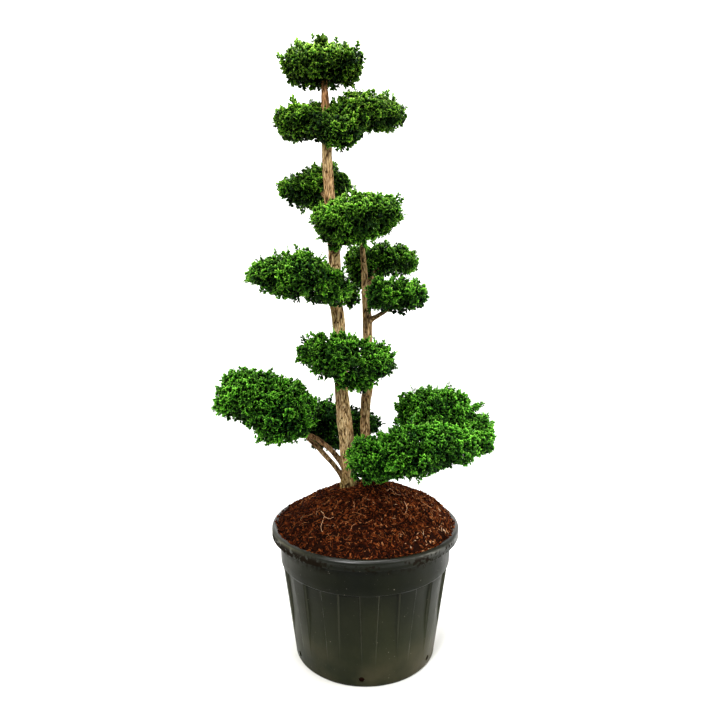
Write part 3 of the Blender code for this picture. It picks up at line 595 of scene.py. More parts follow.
def shade_material():
    """Near-black painted shade for the dense inside of a pad, seen only between the sprays."""
    made, tree, shader = new_material("pad_shade")
    colour = ramp(tree, noise_of(tree, 90.0), (
        (0.35, (0.001, 0.003, 0.001)), (0.65, (0.004, 0.010, 0.002))))
    set_surface(tree, shader, colour, 0.95, 0.0)
    return made


def bark_material():
    """Tan plates between dark fissures, redder at the top, darker at the foot, with dark knots and painted
    shade on the right trunk and limbs.
    """
    made, tree, shader = new_material("fissured_bark")
    fine = noise_of(tree, 60.0, 6.0, (5.0, 5.0, 0.8))
    relief = reckon(tree, "ADD", times(tree, value_of(tree, "ridge"), 0.60), times(tree, fine, 0.55))
    plates = ramp(tree, relief, (
        (0.25, (0.016, 0.008, 0.004)), (0.45, (0.130, 0.078, 0.034)), (0.65, (0.500, 0.345, 0.180)),
        (0.90, (0.880, 0.700, 0.440))))
    patches = spread_over(tree, noise_of(tree, 9.0, 3.0, (1.0, 1.0, 0.5)), 0.40, 0.62)
    grey = tinted(tree, plates, (0.90, 0.93, 0.82))
    red = tinted(tree, plates, (0.92, 0.78, 0.66))
    colour = mixed(tree, patches, grey, red)
    top = spread_over(tree, height_of(tree), 1.75, 1.95)
    colour = mixed(tree, top, colour, tinted(tree, colour, (0.90, 0.66, 0.58)))
    foot = spread_over(tree, height_of(tree), 0.75, 0.60)
    colour = mixed(tree, foot, colour, tinted(tree, colour, (0.46, 0.46, 0.33)))
    colour = mixed(tree, value_of(tree, "knot"), colour, (0.030, 0.016, 0.010))
    # Painted shade: the right trunk and the limbs are darkened as if shaded by the pads
    colour = mixed(tree, value_of(tree, "shade"), colour, tinted(tree, colour, (0.40, 0.36, 0.34)))
    cracks = cracks_of(tree, BARK_PLATE, (1.0, 1.0, 0.16), 0.16)
    colour = mixed(tree, times(tree, cracks, 0.50), colour, (0.034, 0.018, 0.009))
    set_surface(tree, shader, colour, 0.90, 0.08)
    bump(tree, shader, reckon(tree, "SUBTRACT", fine, cracks), 0.9, 0.002)
    return made


def mulch_material():
    """Shredded bark, each piece its own tone from near black to orange-brown, the loose pieces on the right
    lighter by painted light.
    """
    made, tree, shader = new_material("shredded_mulch")
    grain = noise_of(tree, 420.0, 5.0)
    colour = ramp(tree, value_of(tree, "tone"), (
        (0.00, (0.003, 0.001, 0.001)), (0.30, (0.013, 0.003, 0.001)), (0.58, (0.068, 0.012, 0.003)),
        (0.80, (0.190, 0.048, 0.011)), (0.94, (0.420, 0.170, 0.065)), (1.00, (0.660, 0.440, 0.280))))
    colour = tinted(tree, colour, spread_over(tree, grain, 0.3, 0.7, 0.6, 1.3))
    set_surface(tree, shader, colour, 0.85, 0.03)
    bump(tree, shader, grain, 0.6, 0.001)
    return made


def pot_material():
    """Dark green-grey moulded plastic with dust low down, grime under the lip, fine scuffs and a painted
    highlight along the panel edges.
    """
    made, tree, shader = new_material("nursery_plastic")
    height = height_of(tree)
    cloud = noise_of(tree, 6.0, 5.0)
    speck = noise_of(tree, 120.0, 3.0)
    smear = noise_of(tree, 16.0, 6.0, (1.0, 1.0, 0.35))
    crumbs = noise_of(tree, 70.0, 5.0)
    upper_colour = ramp(tree, cloud, ((0.30, (0.002, 0.003, 0.001)), (0.70, (0.006, 0.007, 0.002))))
    lower_colour = ramp(tree, cloud, ((0.30, (0.009, 0.011, 0.004)), (0.70, (0.017, 0.019, 0.008))))
    # Lighter and more olive towards the bottom
    colour = mixed(tree, spread_over(tree, height, 0.36, 0.10), upper_colour, lower_colour)
    # Painted highlight: the colour is lightened along the edges of the pressed panels
    colour = mixed(tree, times(tree, value_of(tree, "edge"), 0.5), colour, (0.060, 0.062, 0.044))
    dust = times(tree, spread_over(tree, height, 0.16, 0.0), spread_over(tree, cloud, 0.40, 0.66))
    colour = mixed(tree, times(tree, dust, 0.50), colour, (0.070, 0.056, 0.032))
    under = times(tree, spread_over(tree, height, 0.41, 0.45), spread_over(tree, height, 0.486, 0.470))
    grime = times(tree, under, spread_over(tree, reckon(tree, "ADD", crumbs, cloud), 0.98, 1.08))
    colour = mixed(tree, grime, colour, (0.007, 0.005, 0.003))
    dots = spread_over(tree, speck, 0.71, 0.76)
    colour = mixed(tree, times(tree, dots, 0.45), colour, (0.20, 0.18, 0.14))
    rough = reckon(tree, "ADD", spread_over(tree, smear, 0.3, 0.7, 0.28, 0.48), times(tree, grime, 0.5))
    gloss = spread_over(tree, height, 0.462, 0.484, 0.06, 0.45)
    gloss = times(tree, gloss, spread_over(tree, grime, 0.0, 1.0, 1.0, 0.15))
    set_surface(tree, shader, colour, rough, gloss)
    bump(tree, shader, reckon(tree, "ADD", speck, times(tree, grime, crumbs)), 0.25, 0.0010)
    return made


def floor_material():
    made, tree, shader = new_material("pale_floor")
    colour = ramp(tree, noise_of(tree, 0.7, 2.0), ((0.30, (0.86, 0.86, 0.86)), (0.70, (0.90, 0.90, 0.90))))
    set_surface(tree, shader, colour, 0.90, 0.10)
    return made


def blade(kind, start, angle, length, thickness, share):
    """One flat scaly twig as a slim closed kite folded along its middle, its tip share rising along it."""
    way = np.array((math.sin(angle), math.cos(angle), 0.0))
    half = np.array((way[1], -way[0], 0.0)) * kind["width"] / 2
    shoulder = start + way * length * kind["shoulder"] - np.array((0.0, 0.0, thickness))
    points = np.array((start, shoulder - half, start + way * length, shoulder + half))
    low, high = share
    middle = low + (high - low) * MIDDLE_SHARE
    return points, np.array(KITE), {"tip": (low, middle, high, middle)}


def spray_template(kind, draw):
    """One flat spray, one unit long, growing along +Y with its face to +Z: twigs in pairs, then the end."""
    blades = []
    for pair in range(kind["pairs"]):
        along = pair / kind["pairs"]
        for side in (-1, 1):
            foot = STALK + kind["reach"] * along + draw.uniform(-START_STRAY, START_STRAY)
            stray = draw.uniform(-ANGLE_STRAY, ANGLE_STRAY)
            angle = side * (kind["spread"] * (1.0 - kind["closing"] * along) + stray)
            length = kind["twig"] * (1.0 - kind["taper"] * along) * draw.uniform(*TWIG_LENGTHS)
            lift = kind["width"] * draw.uniform(*TWIG_LIFTS)
            tips = (TWIG_ROOT + TWIG_ROOT_RISE * along, draw.uniform(*TWIG_TIPS))
            blades.append(blade(kind, np.array((0.0, foot, 0.0)), angle, length, lift, tips))
    start = np.array((0.0, 1.0 - kind["end"], 0.0))
    angle = draw.uniform(-END_STRAY, END_STRAY)
    blades.append(blade(kind, start, angle, kind["end"], kind["width"] * END_LIFT, END_TIPS))
    points, triangles, values = joined(blades)
    cup = draw.uniform(*CUPS)
    curl = draw.uniform(*CURLS)
    points[:, 2] += -cup * points[:, 0] ** 2 + curl * points[:, 1] ** 2
    return points, triangles, values["tip"]


def inside_lobe(points, lobe, share):
    return (((points - lobe[:3]) / (lobe[3:] * share)) ** 2).sum(axis=1) < 1.0


def melded_skin(way, index, lobes):
    """Points on one lobe's skin, pushed out near its neighbours so that the creases fill up."""
    centres, halves = lobes[:, :3], lobes[:, 3:]
    reach = np.ones(len(way))
    for _turn in range(MELD_TURNS):
        skin = centres[index] + way * halves[index] * reach[:, None]
        away = np.linalg.norm((skin[:, None, :] - centres) / halves, axis=2)
        reach = reach + np.log(np.exp(-MELD * (away - 1.0)).sum(axis=1)) / MELD
    return centres[index] + way * halves[index] * np.minimum(reach, MELD_LIMIT)[:, None]


def waves_at(point, waves):
    """Sum of noises at a point, each with its own waves per metre and height."""
    return sum(noise.noise(Vector(point * wave)) * height for wave, height in waves)


def spray_places(lobes, sprigs, shade, draw):
    """Root, sides, tone and kind of each spray of a pad: rosettes on its sprigs and all over its lobes."""
    tops, axis = sprig_tufts(sprigs)
    thickness = np.tile(np.linspace(1.0, SPRIG_TIP_SHARE, SPRIG_TUFTS), len(sprigs))
    found = [rosettes(tops, axis, np.full(len(tops), SPRIG_LIGHT - shade), thickness, draw)]
    for index, lobe in enumerate(lobes):
        half = lobe[3:]
        area = 4.0 * math.pi * (half[0] * half[1] + half[0] * half[2] + half[1] * half[2]) / 3.0
        way = even_directions(int(TUFTS_PER_AREA * area), draw)
        outward = unit(way / half)
        skin = melded_skin(way, index, lobes)
        lumps = np.array([waves_at(point, LUMP_WAVES) for point in skin])
        stand = np.minimum(lumps + LUMP_LIFT, HIGHEST_LUMP) - draw.uniform(*TUFT_DEPTHS, len(way))
        tops = skin + outward * (stand - TUFT_INSET)[:, None]
        keep = np.ones(len(way), bool)
        for number, other in enumerate(lobes):
            if number != index:
                keep &= ~inside_lobe(tops, other, HIDDEN_SHARE)
        outward, stand, tops = outward[keep], stand[keep], tops[keep]
        upturn = np.where(outward[:, 2:3] > UPTURN_FROM, UPTURN, UPTURN_BELOW)
        axis = unit(outward + np.array((0, 0, 1.0)) * upturn + draw.normal(size=tops.shape) * AXIS_STRAY)
        # Painted light and shade: raised tufts, sprigs and tops lighter; sunken tufts, undersides and pads
        # given PAD_SHADE darker
        light = (PAD_LIGHT - shade + LIGHT_PER_HEIGHT * (stand + LUMP_LIFT)
                 + draw.normal(size=len(stand)) * LIGHT_STRAY)
        light += SKY_LIGHT * outward[:, 2] - np.where(outward[:, 2] < UNDERSIDE, UNDERSIDE_SHADE, 0.0)
        found.append(rosettes(tops, axis, np.clip(light, 0, 1), np.ones(len(tops)), draw))
    return [np.concatenate(column) for column in zip(*found)]


def sprig_tufts(sprigs):
    """Tops and axes of the few tufts that make up each sprig."""
    tops, axes = [], []
    for depth, start_x, start_z, tip_x, tip_z in sprigs:
        start, tip = np.array((start_x, depth, start_z)), np.array((tip_x, depth, tip_z))
        for share in np.linspace(0.0, 1.0, SPRIG_TUFTS):
            tops.append(start + (tip - start) * share - unit(tip - start) * TUFT_INSET)
            axes.append(unit(tip - start))
    return np.array(tops), np.array(axes)


def even_directions(count, draw):
    """Directions spread evenly over a ball, each a little astray."""
    number = np.arange(count) + 0.5
    height = 1.0 - 2.0 * number / count
    turn = number * math.pi * (1.0 + math.sqrt(5.0))
    level = np.sqrt(1.0 - height ** 2)
    spread = np.stack((level * np.cos(turn), level * np.sin(turn), height), axis=1)
    step = math.sqrt(4.0 * math.pi / count)
    return unit(spread + draw.normal(size=spread.shape) * DIRECTION_STRAY * step)


def rosettes(tops, axis, light, thickness, draw):
    """A few sprays round each top: the caps upright, the others opening outwards and facing its axis."""
    count = len(tops)
    across = unit(np.cross(axis, draw.normal(size=(count, 3))))
    around = np.cross(axis, across)
    first = draw.uniform(0, math.tau, count)
    sink = (SHELL_LENGTH * ROOT_DEPTH * thickness)[:, None]
    rows = []
    for number in range(SPRAYS_IN_TUFT):
        is_cap = number < CAPS_IN_TUFT
        turn = first + number * math.tau / (SPRAYS_IN_TUFT - CAPS_IN_TUFT)
        turn = turn + draw.normal(size=count) * TURN_STRAY
        lean = draw.uniform(*CAP_LEANS, count) if is_cap else TUFT_SPREAD * draw.uniform(*SIDE_LEANS, count)
        out = across * np.cos(turn)[:, None] + around * np.sin(turn)[:, None]
        growth = axis * np.cos(lean)[:, None] + out * np.sin(lean)[:, None]
        fronds = (draw.uniform(0, 1, count) < FROND_SHARE) & (number == 0)
        climb = 1.0 + FROND_CLIMB * np.clip(axis[:, 2], 0.0, 1.0) * draw.uniform(0.0, 1.0, count)
        size = np.where(fronds, FROND_LENGTH * climb, SHELL_LENGTH) * draw.uniform(*SPRAY_SIZES, count)
        size = (size * thickness)[:, None]
        faced = axis * np.sin(lean)[:, None] - out * np.cos(lean)[:, None]
        faced = unit(faced + draw.normal(size=(count, 3)) * FACE_STRAY)
        aside = unit(np.cross(growth, faced))
        root = tops - axis * sink + draw.normal(size=(count, 3)) * ROOT_STRAY
        # Painted light: the upright caps are drawn brighter and the side sprays darker than the tuft's tone
        tone = light + (CAP_GLOW if is_cap else -SIDE_SHADE) + draw.normal(size=count) * TONE_STRAY
        kinds = draw.integers(0, SHELL_KINDS, count)
        kinds = np.where(fronds, SHELL_KINDS + draw.integers(0, FROND_KINDS, count), kinds)
        rows.append((root, aside * size, growth * size, unit(np.cross(aside, growth)) * size,
                     np.clip(tone, 0, 1), kinds))
    return [np.concatenate(column) for column in zip(*rows)]


def pad_cores(lobes, draw):
    """Rugged dark balls inside the lobes, so that no light comes through the pad."""
    work = bmesh.new()
    bmesh.ops.create_icosphere(work, subdivisions=2, radius=1.0)
    ball = np.array([vert.co[:] for vert in work.verts])
    faces = np.array([[vert.index for vert in face.verts] for face in work.faces])
    work.free()
    parts = []
    for lobe in lobes:
        rough = CORE_SHARE + draw.uniform(-CORE_STRAY, CORE_STRAY, len(ball))
        dark = np.zeros(len(ball))
        parts.append((lobe[:3] + ball * lobe[3:] * rough[:, None], faces, {"tip": dark, "tone": dark}))
    return parts


def make_pad(name, templates, paints, draw):
    """All the sprays of one pad with its dark inside."""
    lobes = np.array(PADS[name])
    places = spray_places(lobes, SPRIGS[name], PAD_SHADE.get(name, 0.0), draw)
    roots, aside, growth, face, tone, kinds = places
    parts = []
    for kind, (shape, corners, shares) in enumerate(templates):
        chosen = kinds == kind
        axes = np.stack((aside[chosen], growth[chosen], face[chosen]), axis=1)
        placed = np.einsum("vk,nkj->nvj", shape, axes) + roots[chosen][:, None, :]
        faces = corners + np.arange(len(placed))[:, None, None] * len(shape)
        values = {"tip": np.tile(shares, len(placed)), "tone": np.repeat(tone[chosen], len(shape))}
        parts.append((placed.reshape(-1, 3), faces.reshape(-1, 3), values))
    sprays = sum(len(part[1]) for part in parts)
    points, triangles, values = joined(parts + pad_cores(lobes, draw))
    is_core = np.arange(len(triangles)) >= sprays
    pad = mesh_piece("sprays_" + name, points, triangles, paints, values, is_core)
    stand_for(pad, "foliage_" + name)


def catmull(points, share):
    """A point on the smooth curve through four points, between the middle two."""
    before, start, end, after = points
    return 0.5 * ((2 * start) + (end - before) * share
                  + (2 * before - 5 * start + 4 * end - after) * share ** 2
                  + (3 * start - before - 3 * end + after) * share ** 3)


def smooth_route(stem, step):
    """Centres and radii along a smooth curve through a stem's points, about one step apart."""
    rows = np.array(stem)
    centres, radii = rows[:, :3], rows[:, 3]
    last = len(rows) - 1
    route, widths = [], []
    for index in range(last):
        four = centres[[max(0, index - 1), index, index + 1, min(last, index + 2)]]
        pieces = max(1, round(float(np.linalg.norm(four[2] - four[1])) / step))
        for piece in range(pieces):
            share = piece / pieces
            route.append(catmull(four, share))
            widths.append(radii[index] + (radii[index + 1] - radii[index]) * share)
    return np.array(route + [centres[-1]]), np.array(widths + [radii[-1]])


def tube_rings(centres, radii, sides):
    """Rings round a route, carried along without twist: points and their outward directions."""
    rings, outs = [], []
    aside = None
    turn = np.arange(sides) * math.tau / sides
    for index, centre in enumerate(centres):
        along = unit(centres[min(index + 1, len(centres) - 1)] - centres[max(index - 1, 0)])
        if aside is None:
            aside = np.array(Vector(along).orthogonal().normalized())
        aside = unit(aside - along * aside.dot(along))
        across = np.cross(along, aside)
        out = np.cos(turn)[:, None] * aside + np.sin(turn)[:, None] * across
        rings.append(centre + out * radii[index])
        outs.append(out)
    return np.array(rings), np.array(outs)


def tube_triangles(levels, sides):
    """Triangles of a closed tube of rings, with a fan of triangles at each end."""
    faces = []
    last = (levels - 1) * sides
    for low in range(0, last, sides):
        for side in range(sides):
            here, after = low + side, low + (side + 1) % sides
            faces += [(here, after, after + sides), (here, after + sides, here + sides)]
    for side in range(1, sides - 1):
        faces += [(0, side + 1, side), (last, last + side, last + side + 1)]
    return np.array(faces)


def tube(centres, radii, sides, tone=0.0):
    """A plain closed tube in one tone."""
    rings, _outs = tube_rings(centres, radii, sides)
    points = rings.reshape(-1, 3)
    return points, tube_triangles(len(rings), sides), {"tone": np.full(len(points), tone)}


def bark_ridge(point, seed):
    """How high the bark stands at a point, from a fissure at zero to a plate at one."""
    sway = BARK_SWAY * noise.noise(Vector(point) * BARK_SWAY_WAVE)
    x, y, z = point
    place = Vector((x * BARK_PLATE + sway, y * BARK_PLATE, z * BARK_PLATE_LENGTH + seed))
    split = max(0.0, 1.0 - abs(noise.noise(place)) * SPLIT_SHARPNESS)
    crack = max(0.0, 1.0 - abs(noise.noise(place * CRACK_WAVE)) * CRACK_SHARPNESS)
    grain = noise.noise(place * GRAIN_WAVE)
    return min(1.0, max(0.0, PLATE_HEIGHT - SPLIT_DEPTH * split - CRACK_DEPTH * crack + GRAIN_DEPTH * grain))


def bark_stem(stem, seed, step, sides, flare, shade):
    """One stem with plates and fissures, wider where it leaves its parent."""
    centres, radii = smooth_route(stem, step)
    travel = np.concatenate(([0.0], np.cumsum(np.linalg.norm(np.diff(centres, axis=0), axis=1))))
    radii = radii * (1.0 + flare * np.exp(-(travel / FLARE_LENGTH) ** 2))
    rings, outs = tube_rings(centres, radii, sides)
    points, out = rings.reshape(-1, 3), outs.reshape(-1, 3)
    ridges = np.array([bark_ridge(point, seed) for point in points])
    waves = np.array([noise.noise(Vector(point * STEM_WAVE)) for point in points])
    relief = BARK_DEPTH * (ridges - BARK_LEVEL) + STEM_WAVE_DEPTH * waves
    points = points + out * (np.repeat(radii, sides) * relief)[:, None]
    knots = np.zeros(len(points))
    for *place, reach in KNOTS:
        away = np.linalg.norm(points - np.array(place), axis=1) / reach
        swell = np.exp(-away ** 2)
        points = points + out * (swell * reach * KNOT_HEIGHT)[:, None]
        knots = np.maximum(knots, np.clip(KNOT_CORE - KNOT_FADE * away, 0.0, 1.0))
    values = {"ridge": ridges, "knot": knots, "shade": np.full(len(points), shade)}
    return points, tube_triangles(len(centres), sides), values


def make_wood(paint):
    """Both trunks, the root crown and every limb with real bark relief."""
    stems = [(LEFT_TRUNK, LEFT_TRUNK_MESH), (RIGHT_TRUNK, RIGHT_TRUNK_MESH), (ROOT_CROWN, ROOT_CROWN_MESH)]
    stems += [(stem, LIMB_MESH) for stem in LIMBS.values()]
    parts = [bark_stem(stem, number * STEM_SHIFT, *mesh) for number, (stem, mesh) in enumerate(stems)]
    points, triangles, values = joined(parts)
    stand_for(mesh_piece("bark_stems", points, triangles, [paint], values, smooth=True), "wood")


def mound_height(radius):
    """Height of the smooth heap at a distance from the pot's middle, then of the lip's inner half."""
    outline = ((STRAY_RADIUS, POT_HEIGHT), (SOIL_EDGE_RADIUS, SOIL_EDGE_HEIGHT)) + MOUND_OUTLINE
    far, high = zip(*reversed(outline))
    return np.interp(radius, far, high)


def mound_points(across, deep):
    """The heap's surface, lumpy and a little higher on the right."""
    radius = np.hypot(across, deep)
    lumps = np.array([sum(noise.noise(Vector((x * wave, y * wave, level))) * share
                          for wave, level, share in MOUND_WAVES) for x, y in zip(across, deep)])
    inner = np.clip((SOIL_EDGE_RADIUS - radius) / MOUND_EDGE, 0.0, 1.0)
    lean = MOUND_LEAN * across / SOIL_EDGE_RADIUS
    return mound_height(radius) + inner * (lumps * MOUND_WAVE_HEIGHT + lean)


def soil_body():
    """The root ball in the pot with the heap on top, as one closed turned shape."""
    turn = np.arange(SOIL_SIDES) * math.tau / SOIL_SIDES
    points = []
    for radius, height in SOIL_PLUG:
        level = np.full(SOIL_SIDES, height)
        points.append(np.stack((np.cos(turn) * radius, np.sin(turn) * radius, level), axis=1))
    for radius in np.linspace(SOIL_EDGE_RADIUS, 0.0, SOIL_RINGS + 1)[:-1]:
        across, deep = np.cos(turn) * radius, np.sin(turn) * radius
        points.append(np.stack((across, deep, mound_points(across, deep)), axis=1))
    body = np.concatenate(points)
    tone = [SOIL_TONE + SOIL_TONE_STRAY * noise.noise(Vector(point * SOIL_GRAIN)) for point in body]
    return body, tube_triangles(len(points), SOIL_SIDES), {"tone": np.array(tone)}


def loose_shapes(kind, draw):
    """Rough pieces of bark: the corners of a stretched block or splinter, each knocked about."""
    corners = np.array(kind["corners"], float)
    sizes = np.stack([draw.uniform(*limits, kind["count"]) for limits in kind["sizes"]], axis=1)
    knocks = 1.0 + draw.uniform(*kind["stray"], (kind["count"], len(corners), 3))
    return corners[None] * knocks * sizes[:, None, :]


def scatter(kind, draw):
    """Lay loose pieces at random over the heap, mostly flat on it, each with a tone of its own plus painted
    light towards the right.
    """
    shapes = loose_shapes(kind, draw)
    count, corners = shapes.shape[:2]
    radius = np.sqrt(draw.uniform(0.0, 1.0, count)) * STRAY_RADIUS
    turn = draw.uniform(0, math.tau, count)
    across, deep = radius * np.cos(turn), radius * np.sin(turn)
    height = mound_points(across, deep) + draw.uniform(*LOOSE_SINK, count)
    fall = mound_height(radius + SLOPE_STEP) - mound_height(np.maximum(radius - SLOPE_STEP, 0.0))
    slope = fall / (2 * SLOPE_STEP)
    up = unit(np.stack((-slope * np.cos(turn), -slope * np.sin(turn), np.ones(count)), axis=1)
              + draw.normal(size=(count, 3)) * LOOSE_TILT)
    way = draw.normal(size=(count, 3))
    along = unit(way - up * (way * up).sum(axis=1, keepdims=True))
    axes = np.stack((along, np.cross(up, along), up), axis=1)
    placed = np.einsum("nvk,nkj->nvj", shapes, axes) + np.stack((across, deep, height), axis=1)[:, None, :]
    triangles = np.array(kind["faces"]) + (np.arange(count) * corners)[:, None, None]
    low, high = kind["tones"]
    # Painted light makes the pieces lighter towards the right
    tone = draw.beta(*LOOSE_TONES, count) * (high - low) + low + PAINTED_LIGHT_RIGHT * across / SOIL_EDGE_RADIUS
    tone = np.repeat(np.clip(tone, 0.0, 1.0), corners)
    return placed.reshape(-1, 3), triangles.reshape(-1, 3), {"tone": tone}


def strand(draw):
    """One thin bent fibre that lies over the heap."""
    radius = math.sqrt(draw.uniform(0.0, 1.0)) * (SOIL_EDGE_RADIUS - STRAND_MARGIN)
    turn = draw.uniform(0, math.tau)
    heading = draw.uniform(0, math.tau)
    place = np.array((radius * math.cos(turn), radius * math.sin(turn)))
    route = []
    for _step in range(STRAND_POINTS):
        route.append(place.copy())
        heading += draw.normal() * STRAND_BEND
        step = STRAND_STEP * draw.uniform(*STRAND_STRETCH)
        place = place + step * np.array((math.cos(heading), math.sin(heading)))
    route = np.array(route)
    height = mound_points(*route.T) + STRAND_LIFT + draw.uniform(*STRAND_LIFTS, len(route))
    centres = np.column_stack((route, height))
    radii = [draw.uniform(*STRAND_RADII)] * len(centres)
    return tube(centres, radii, STRAND_SIDES, draw.uniform(*STRAND_TONES))


def rootlet(places, thickness):
    """One pale root that lies on the heap, thinner towards its end."""
    centres, radii = smooth_route([(across, deep, 0.0, thickness) for across, deep in places], ROOTLET_STEP)
    centres[:, 2] = mound_points(centres[:, 0], centres[:, 1]) + ROOTLET_LIFT
    radii = radii * np.linspace(1.0, ROOTLET_END, len(radii))
    return tube(centres, radii, ROOTLET_SIDES, ROOTLET_TONE)


def make_soil(paint, draw):
    """The heap with its loose bark, splinters, fibres and roots."""
    parts = [soil_body(), scatter(CHUNKS, draw), scatter(SLIVERS, draw)]
    parts += [strand(draw) for _ in range(STRANDS)]
    parts += [rootlet(places, thickness) for places, thickness in ROOTLETS]
    points, triangles, values = joined(parts)
    stand_for(mesh_piece("mulch_heap", points, triangles, [paint], values), "soil")


def body_radius(height):
    share = height / (POT_HEIGHT - COLLAR_DROP)
    return BASE_RADIUS + (BODY_TOP_RADIUS - BASE_RADIUS) * share


def eased(share):
    """A share from zero to one with a soft start and end."""
    share = np.clip(share, 0.0, 1.0)
    return share * share * (3.0 - 2.0 * share)


def panel_shape(azimuth, height):
    """Share of the recess at an azimuth: zero on a panel, one between panels, rounded at the edges."""
    share = min(1.0, max(0.0, height / (POT_HEIGHT - COLLAR_DROP)))
    half = PANEL_HALF_BOTTOM + (PANEL_HALF_TOP - PANEL_HALF_BOTTOM) * share
    pitch = math.tau / PANELS
    away = np.abs((azimuth - PANEL_AZIMUTH + pitch / 2) % pitch - pitch / 2)
    return eased((away - half) / PANEL_FLANK)


def recess_at(height):
    """Depth of the recess: none at its foot, full in the upper half of the wall."""
    return RECESS_DEPTH * eased((height - RECESS_BOTTOM) / (RECESS_FULL_HEIGHT - RECESS_BOTTOM))


def pot_azimuths():
    """Azimuths round the pot, close together at the panels' edges."""
    edge = PANEL_HALF_TOP + PANEL_FLANK
    halves = [PANEL_HALF_BOTTOM / 2, *np.linspace(PANEL_HALF_BOTTOM, edge, PANEL_EDGE_STEPS)]
    halves += [edge + gap for gap in BESIDE_PANEL]
    found = []
    for panel in range(PANELS):
        centre = PANEL_AZIMUTH + panel * math.tau / PANELS
        found.append(centre)
        found += [centre + side * half for side in (-1, 1) for half in halves]
    return np.array(sorted(value % math.tau for value in found))


def section(rows, radius, height):
    """Points of the pot's section beside a place, without a recess."""
    return [(radius + out, height + up, 0.0) for out, up in rows]


def pot_outline():
    """Section of the pot from the foot up the outside, over the lip and down the inside."""
    collar_foot = POT_HEIGHT - COLLAR_DROP
    lip_foot = POT_HEIGHT - LIP_DROP
    ledge = collar_foot - COLLAR_LEDGE
    outline = section(FOOT_ROWS, 0.0, 0.0) + section(FOOT_EDGE_ROWS, BASE_RADIUS, 0.0)
    out, up = FOOT_CURVE
    outline.append((body_radius(up) + out, up, 0.0))
    for height in np.linspace(WALL_START, collar_foot - WALL_MARGIN, WALL_ROWS):
        outline.append((body_radius(height), height, recess_at(height)))
    outline.append((body_radius(ledge), ledge, RECESS_DEPTH))
    out, up = LEDGE_CURVE
    outline.append((body_radius(ledge) + out, ledge + up, RECESS_DEPTH * LEDGE_RECESS))
    outline += section(COLLAR_FOOT_ROWS, COLLAR_RADIUS, ledge)
    outline += section(UNDER_LIP_ROWS, COLLAR_RADIUS, lip_foot)
    outline += section(LIP_BACK_ROWS, LIP_RADIUS - LIP_WALL, lip_foot)
    outline += section(LIP_EDGE_ROWS, LIP_RADIUS, lip_foot)
    across, high = LIP_ROUNDING
    for angle in LIP_ANGLES:
        outline.append((LIP_RADIUS - across + across * math.cos(angle),
                        POT_HEIGHT - high + high * math.sin(angle), 0.0))
    outline += section(MOUTH_ROWS, 0.0, POT_HEIGHT)
    outline.append((COLLAR_RADIUS - WALL, POT_HEIGHT - MOUTH_DROP, 0.0))
    outline.append((COLLAR_RADIUS - WALL - INSIDE_MARGIN, collar_foot + WALL_MARGIN, 0.0))
    for height in np.linspace(collar_foot - INSIDE_MARGIN, FLOOR_TOP + INSIDE_START, INSIDE_ROWS):
        outline.append((body_radius(height) - WALL, height, recess_at(height)))
    outline.append((body_radius(FLOOR_TOP) - WALL - INSIDE_CURVE, FLOOR_TOP, 0.0))
    return outline


def drill_holes(pot):
    """Cut the drain holes through the foot of the pot's wall."""
    holes = bpy.data.collections.new("holes")
    bpy.context.scene.collection.children.link(holes)
    for index in range(DRAIN_HOLES):
        azimuth = DRAIN_AZIMUTH + index * math.tau / DRAIN_HOLES
        ends = np.array([(math.sin(azimuth) * reach, -math.cos(azimuth) * reach, DRAIN_HEIGHT)
                         for reach in (BASE_RADIUS - DRILL_REACH, BASE_RADIUS + DRILL_REACH)])
        points, triangles, _tone = tube(ends, [DRAIN_RADIUS] * 2, DRILL_SIDES)
        drill = mesh_piece("drill", points, triangles, pot.data.materials)
        bpy.context.scene.collection.objects.unlink(drill)
        holes.objects.link(drill)
    cut = pot.modifiers.new("drain", "BOOLEAN")
    cut.operation = "DIFFERENCE"
    cut.operand_type = "COLLECTION"
    cut.collection = holes
    drilled = bpy.data.meshes.new_from_object(pot.evaluated_get(bpy.context.evaluated_depsgraph_get()))
    pot.modifiers.clear()
    pot.data = drilled
    for drill in list(holes.objects):
        bpy.data.objects.remove(drill, do_unlink=True)
    bpy.data.collections.remove(holes)


def make_pot(paint):
    """The turned pot with its pressed panels, then the drain holes drilled through."""
    azimuths = pot_azimuths()
    sides = len(azimuths)
    rings, edge_highlights = [], []
    for radius, height, recess in pot_outline():
        share = panel_shape(azimuths, height)
        reach = radius - recess * share
        level = np.full(sides, height)
        rings.append(np.stack((reach * np.sin(azimuths), -reach * np.cos(azimuths), level), axis=1))
        # A painted highlight along each panel edge, kept on the points as edge
        edge_highlights.append(4.0 * share * (1.0 - share) * recess / RECESS_DEPTH)
    pot = mesh_piece("nursery_pot", np.concatenate(rings), tube_triangles(len(rings), sides), [paint],
                     {"edge": np.concatenate(edge_highlights)}, smooth=True)
    drill_holes(pot)
    pot.data.set_sharp_from_angle(angle=SHARP_EDGE)
    stand_for(pot, "pot")


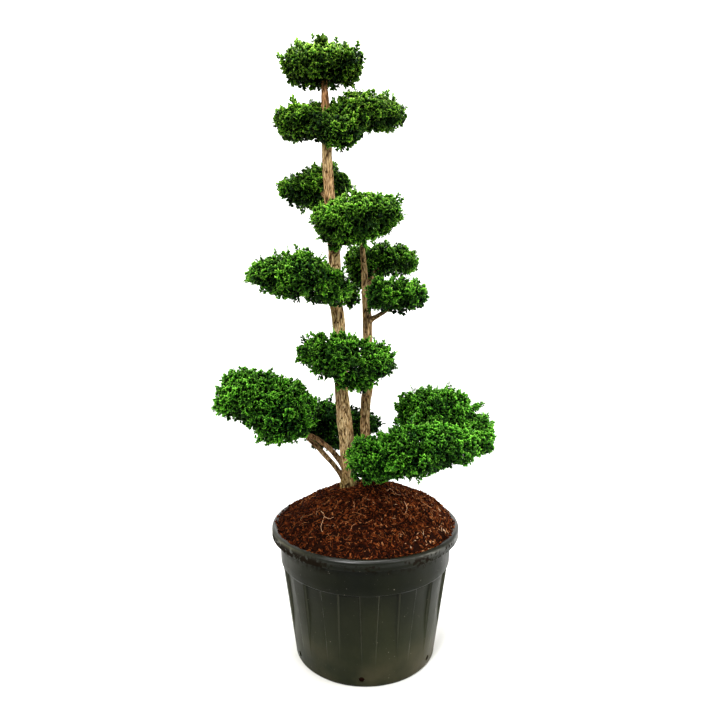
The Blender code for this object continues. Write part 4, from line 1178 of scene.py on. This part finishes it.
def make_floor():
    """A pale sweep: flat under the tree, then curving up behind it, narrow in front."""
    rows = [(FLOOR_FRONT, 0.0), (FLOOR_BACK, 0.0)]
    for angle in FLOOR_BEND_ANGLES:
        rows.append((FLOOR_BACK + FLOOR_BEND * math.sin(angle), FLOOR_BEND - FLOOR_BEND * math.cos(angle)))
    rows.append((FLOOR_BACK + FLOOR_BEND, FLOOR_RISE))
    points = [(side * (FLOOR_HALF_WIDTH + FLOOR_SPLAY * (y - FLOOR_FRONT)), y, z)
              for y, z in rows for side in (-1, 1)]
    triangles = []
    for low in range(0, 2 * len(rows) - 2, 2):
        triangles += [(low, low + 1, low + 3), (low, low + 3, low + 2)]
    floor = mesh_piece("floor", points, triangles, [floor_material()], smooth=True)


def area_lamp(name, place, target, size, power, colour):
    light = bpy.data.lights.new(name, "AREA")
    light.shape = "RECTANGLE"
    light.size, light.size_y = size
    light.energy = power
    light.color = colour
    lamp = linked(name, light)
    lamp.location = place
    lamp.rotation_euler = (Vector(target) - Vector(place)).to_track_quat("-Z", "Y").to_euler()


def light_the_set():
    """Soft key from the upper left, fill from the right, and a broad light on the sweep."""
    for lamp in LAMPS:
        area_lamp(*lamp)
    world = bpy.data.worlds.new("studio")
    bpy.context.scene.world = world
    world.use_nodes = True
    world.node_tree.nodes["Background"].inputs["Color"].default_value = (*WHITE, 1.0)
    world.node_tree.nodes["Background"].inputs["Strength"].default_value = SKY_STRENGTH
    bpy.context.scene.view_settings.view_transform = "Standard"


def make_camera():
    data = bpy.data.cameras.new("camera")
    data.sensor_width = SENSOR_WIDTH
    data.lens = CAMERA_LENS
    camera = linked("camera", data)
    camera.location = CAMERA_PLACE
    camera.rotation_euler = (math.pi / 2 - CAMERA_PITCH, 0.0, 0.0)
    bpy.context.scene.camera = camera


def main():
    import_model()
    make_camera()
    draw = np.random.default_rng(SEED)
    shapes = random.Random(SEED)
    templates = [spray_template(SHELL, shapes) for _ in range(SHELL_KINDS)]
    templates += [spray_template(FROND, shapes) for _ in range(FROND_KINDS)]
    greens = [foliage_material(), shade_material()]
    for name in PADS:
        make_pad(name, templates, greens, draw)
    make_wood(bark_material())
    make_soil(mulch_material(), draw)
    make_pot(pot_material())
    make_floor()
    light_the_set()


main()
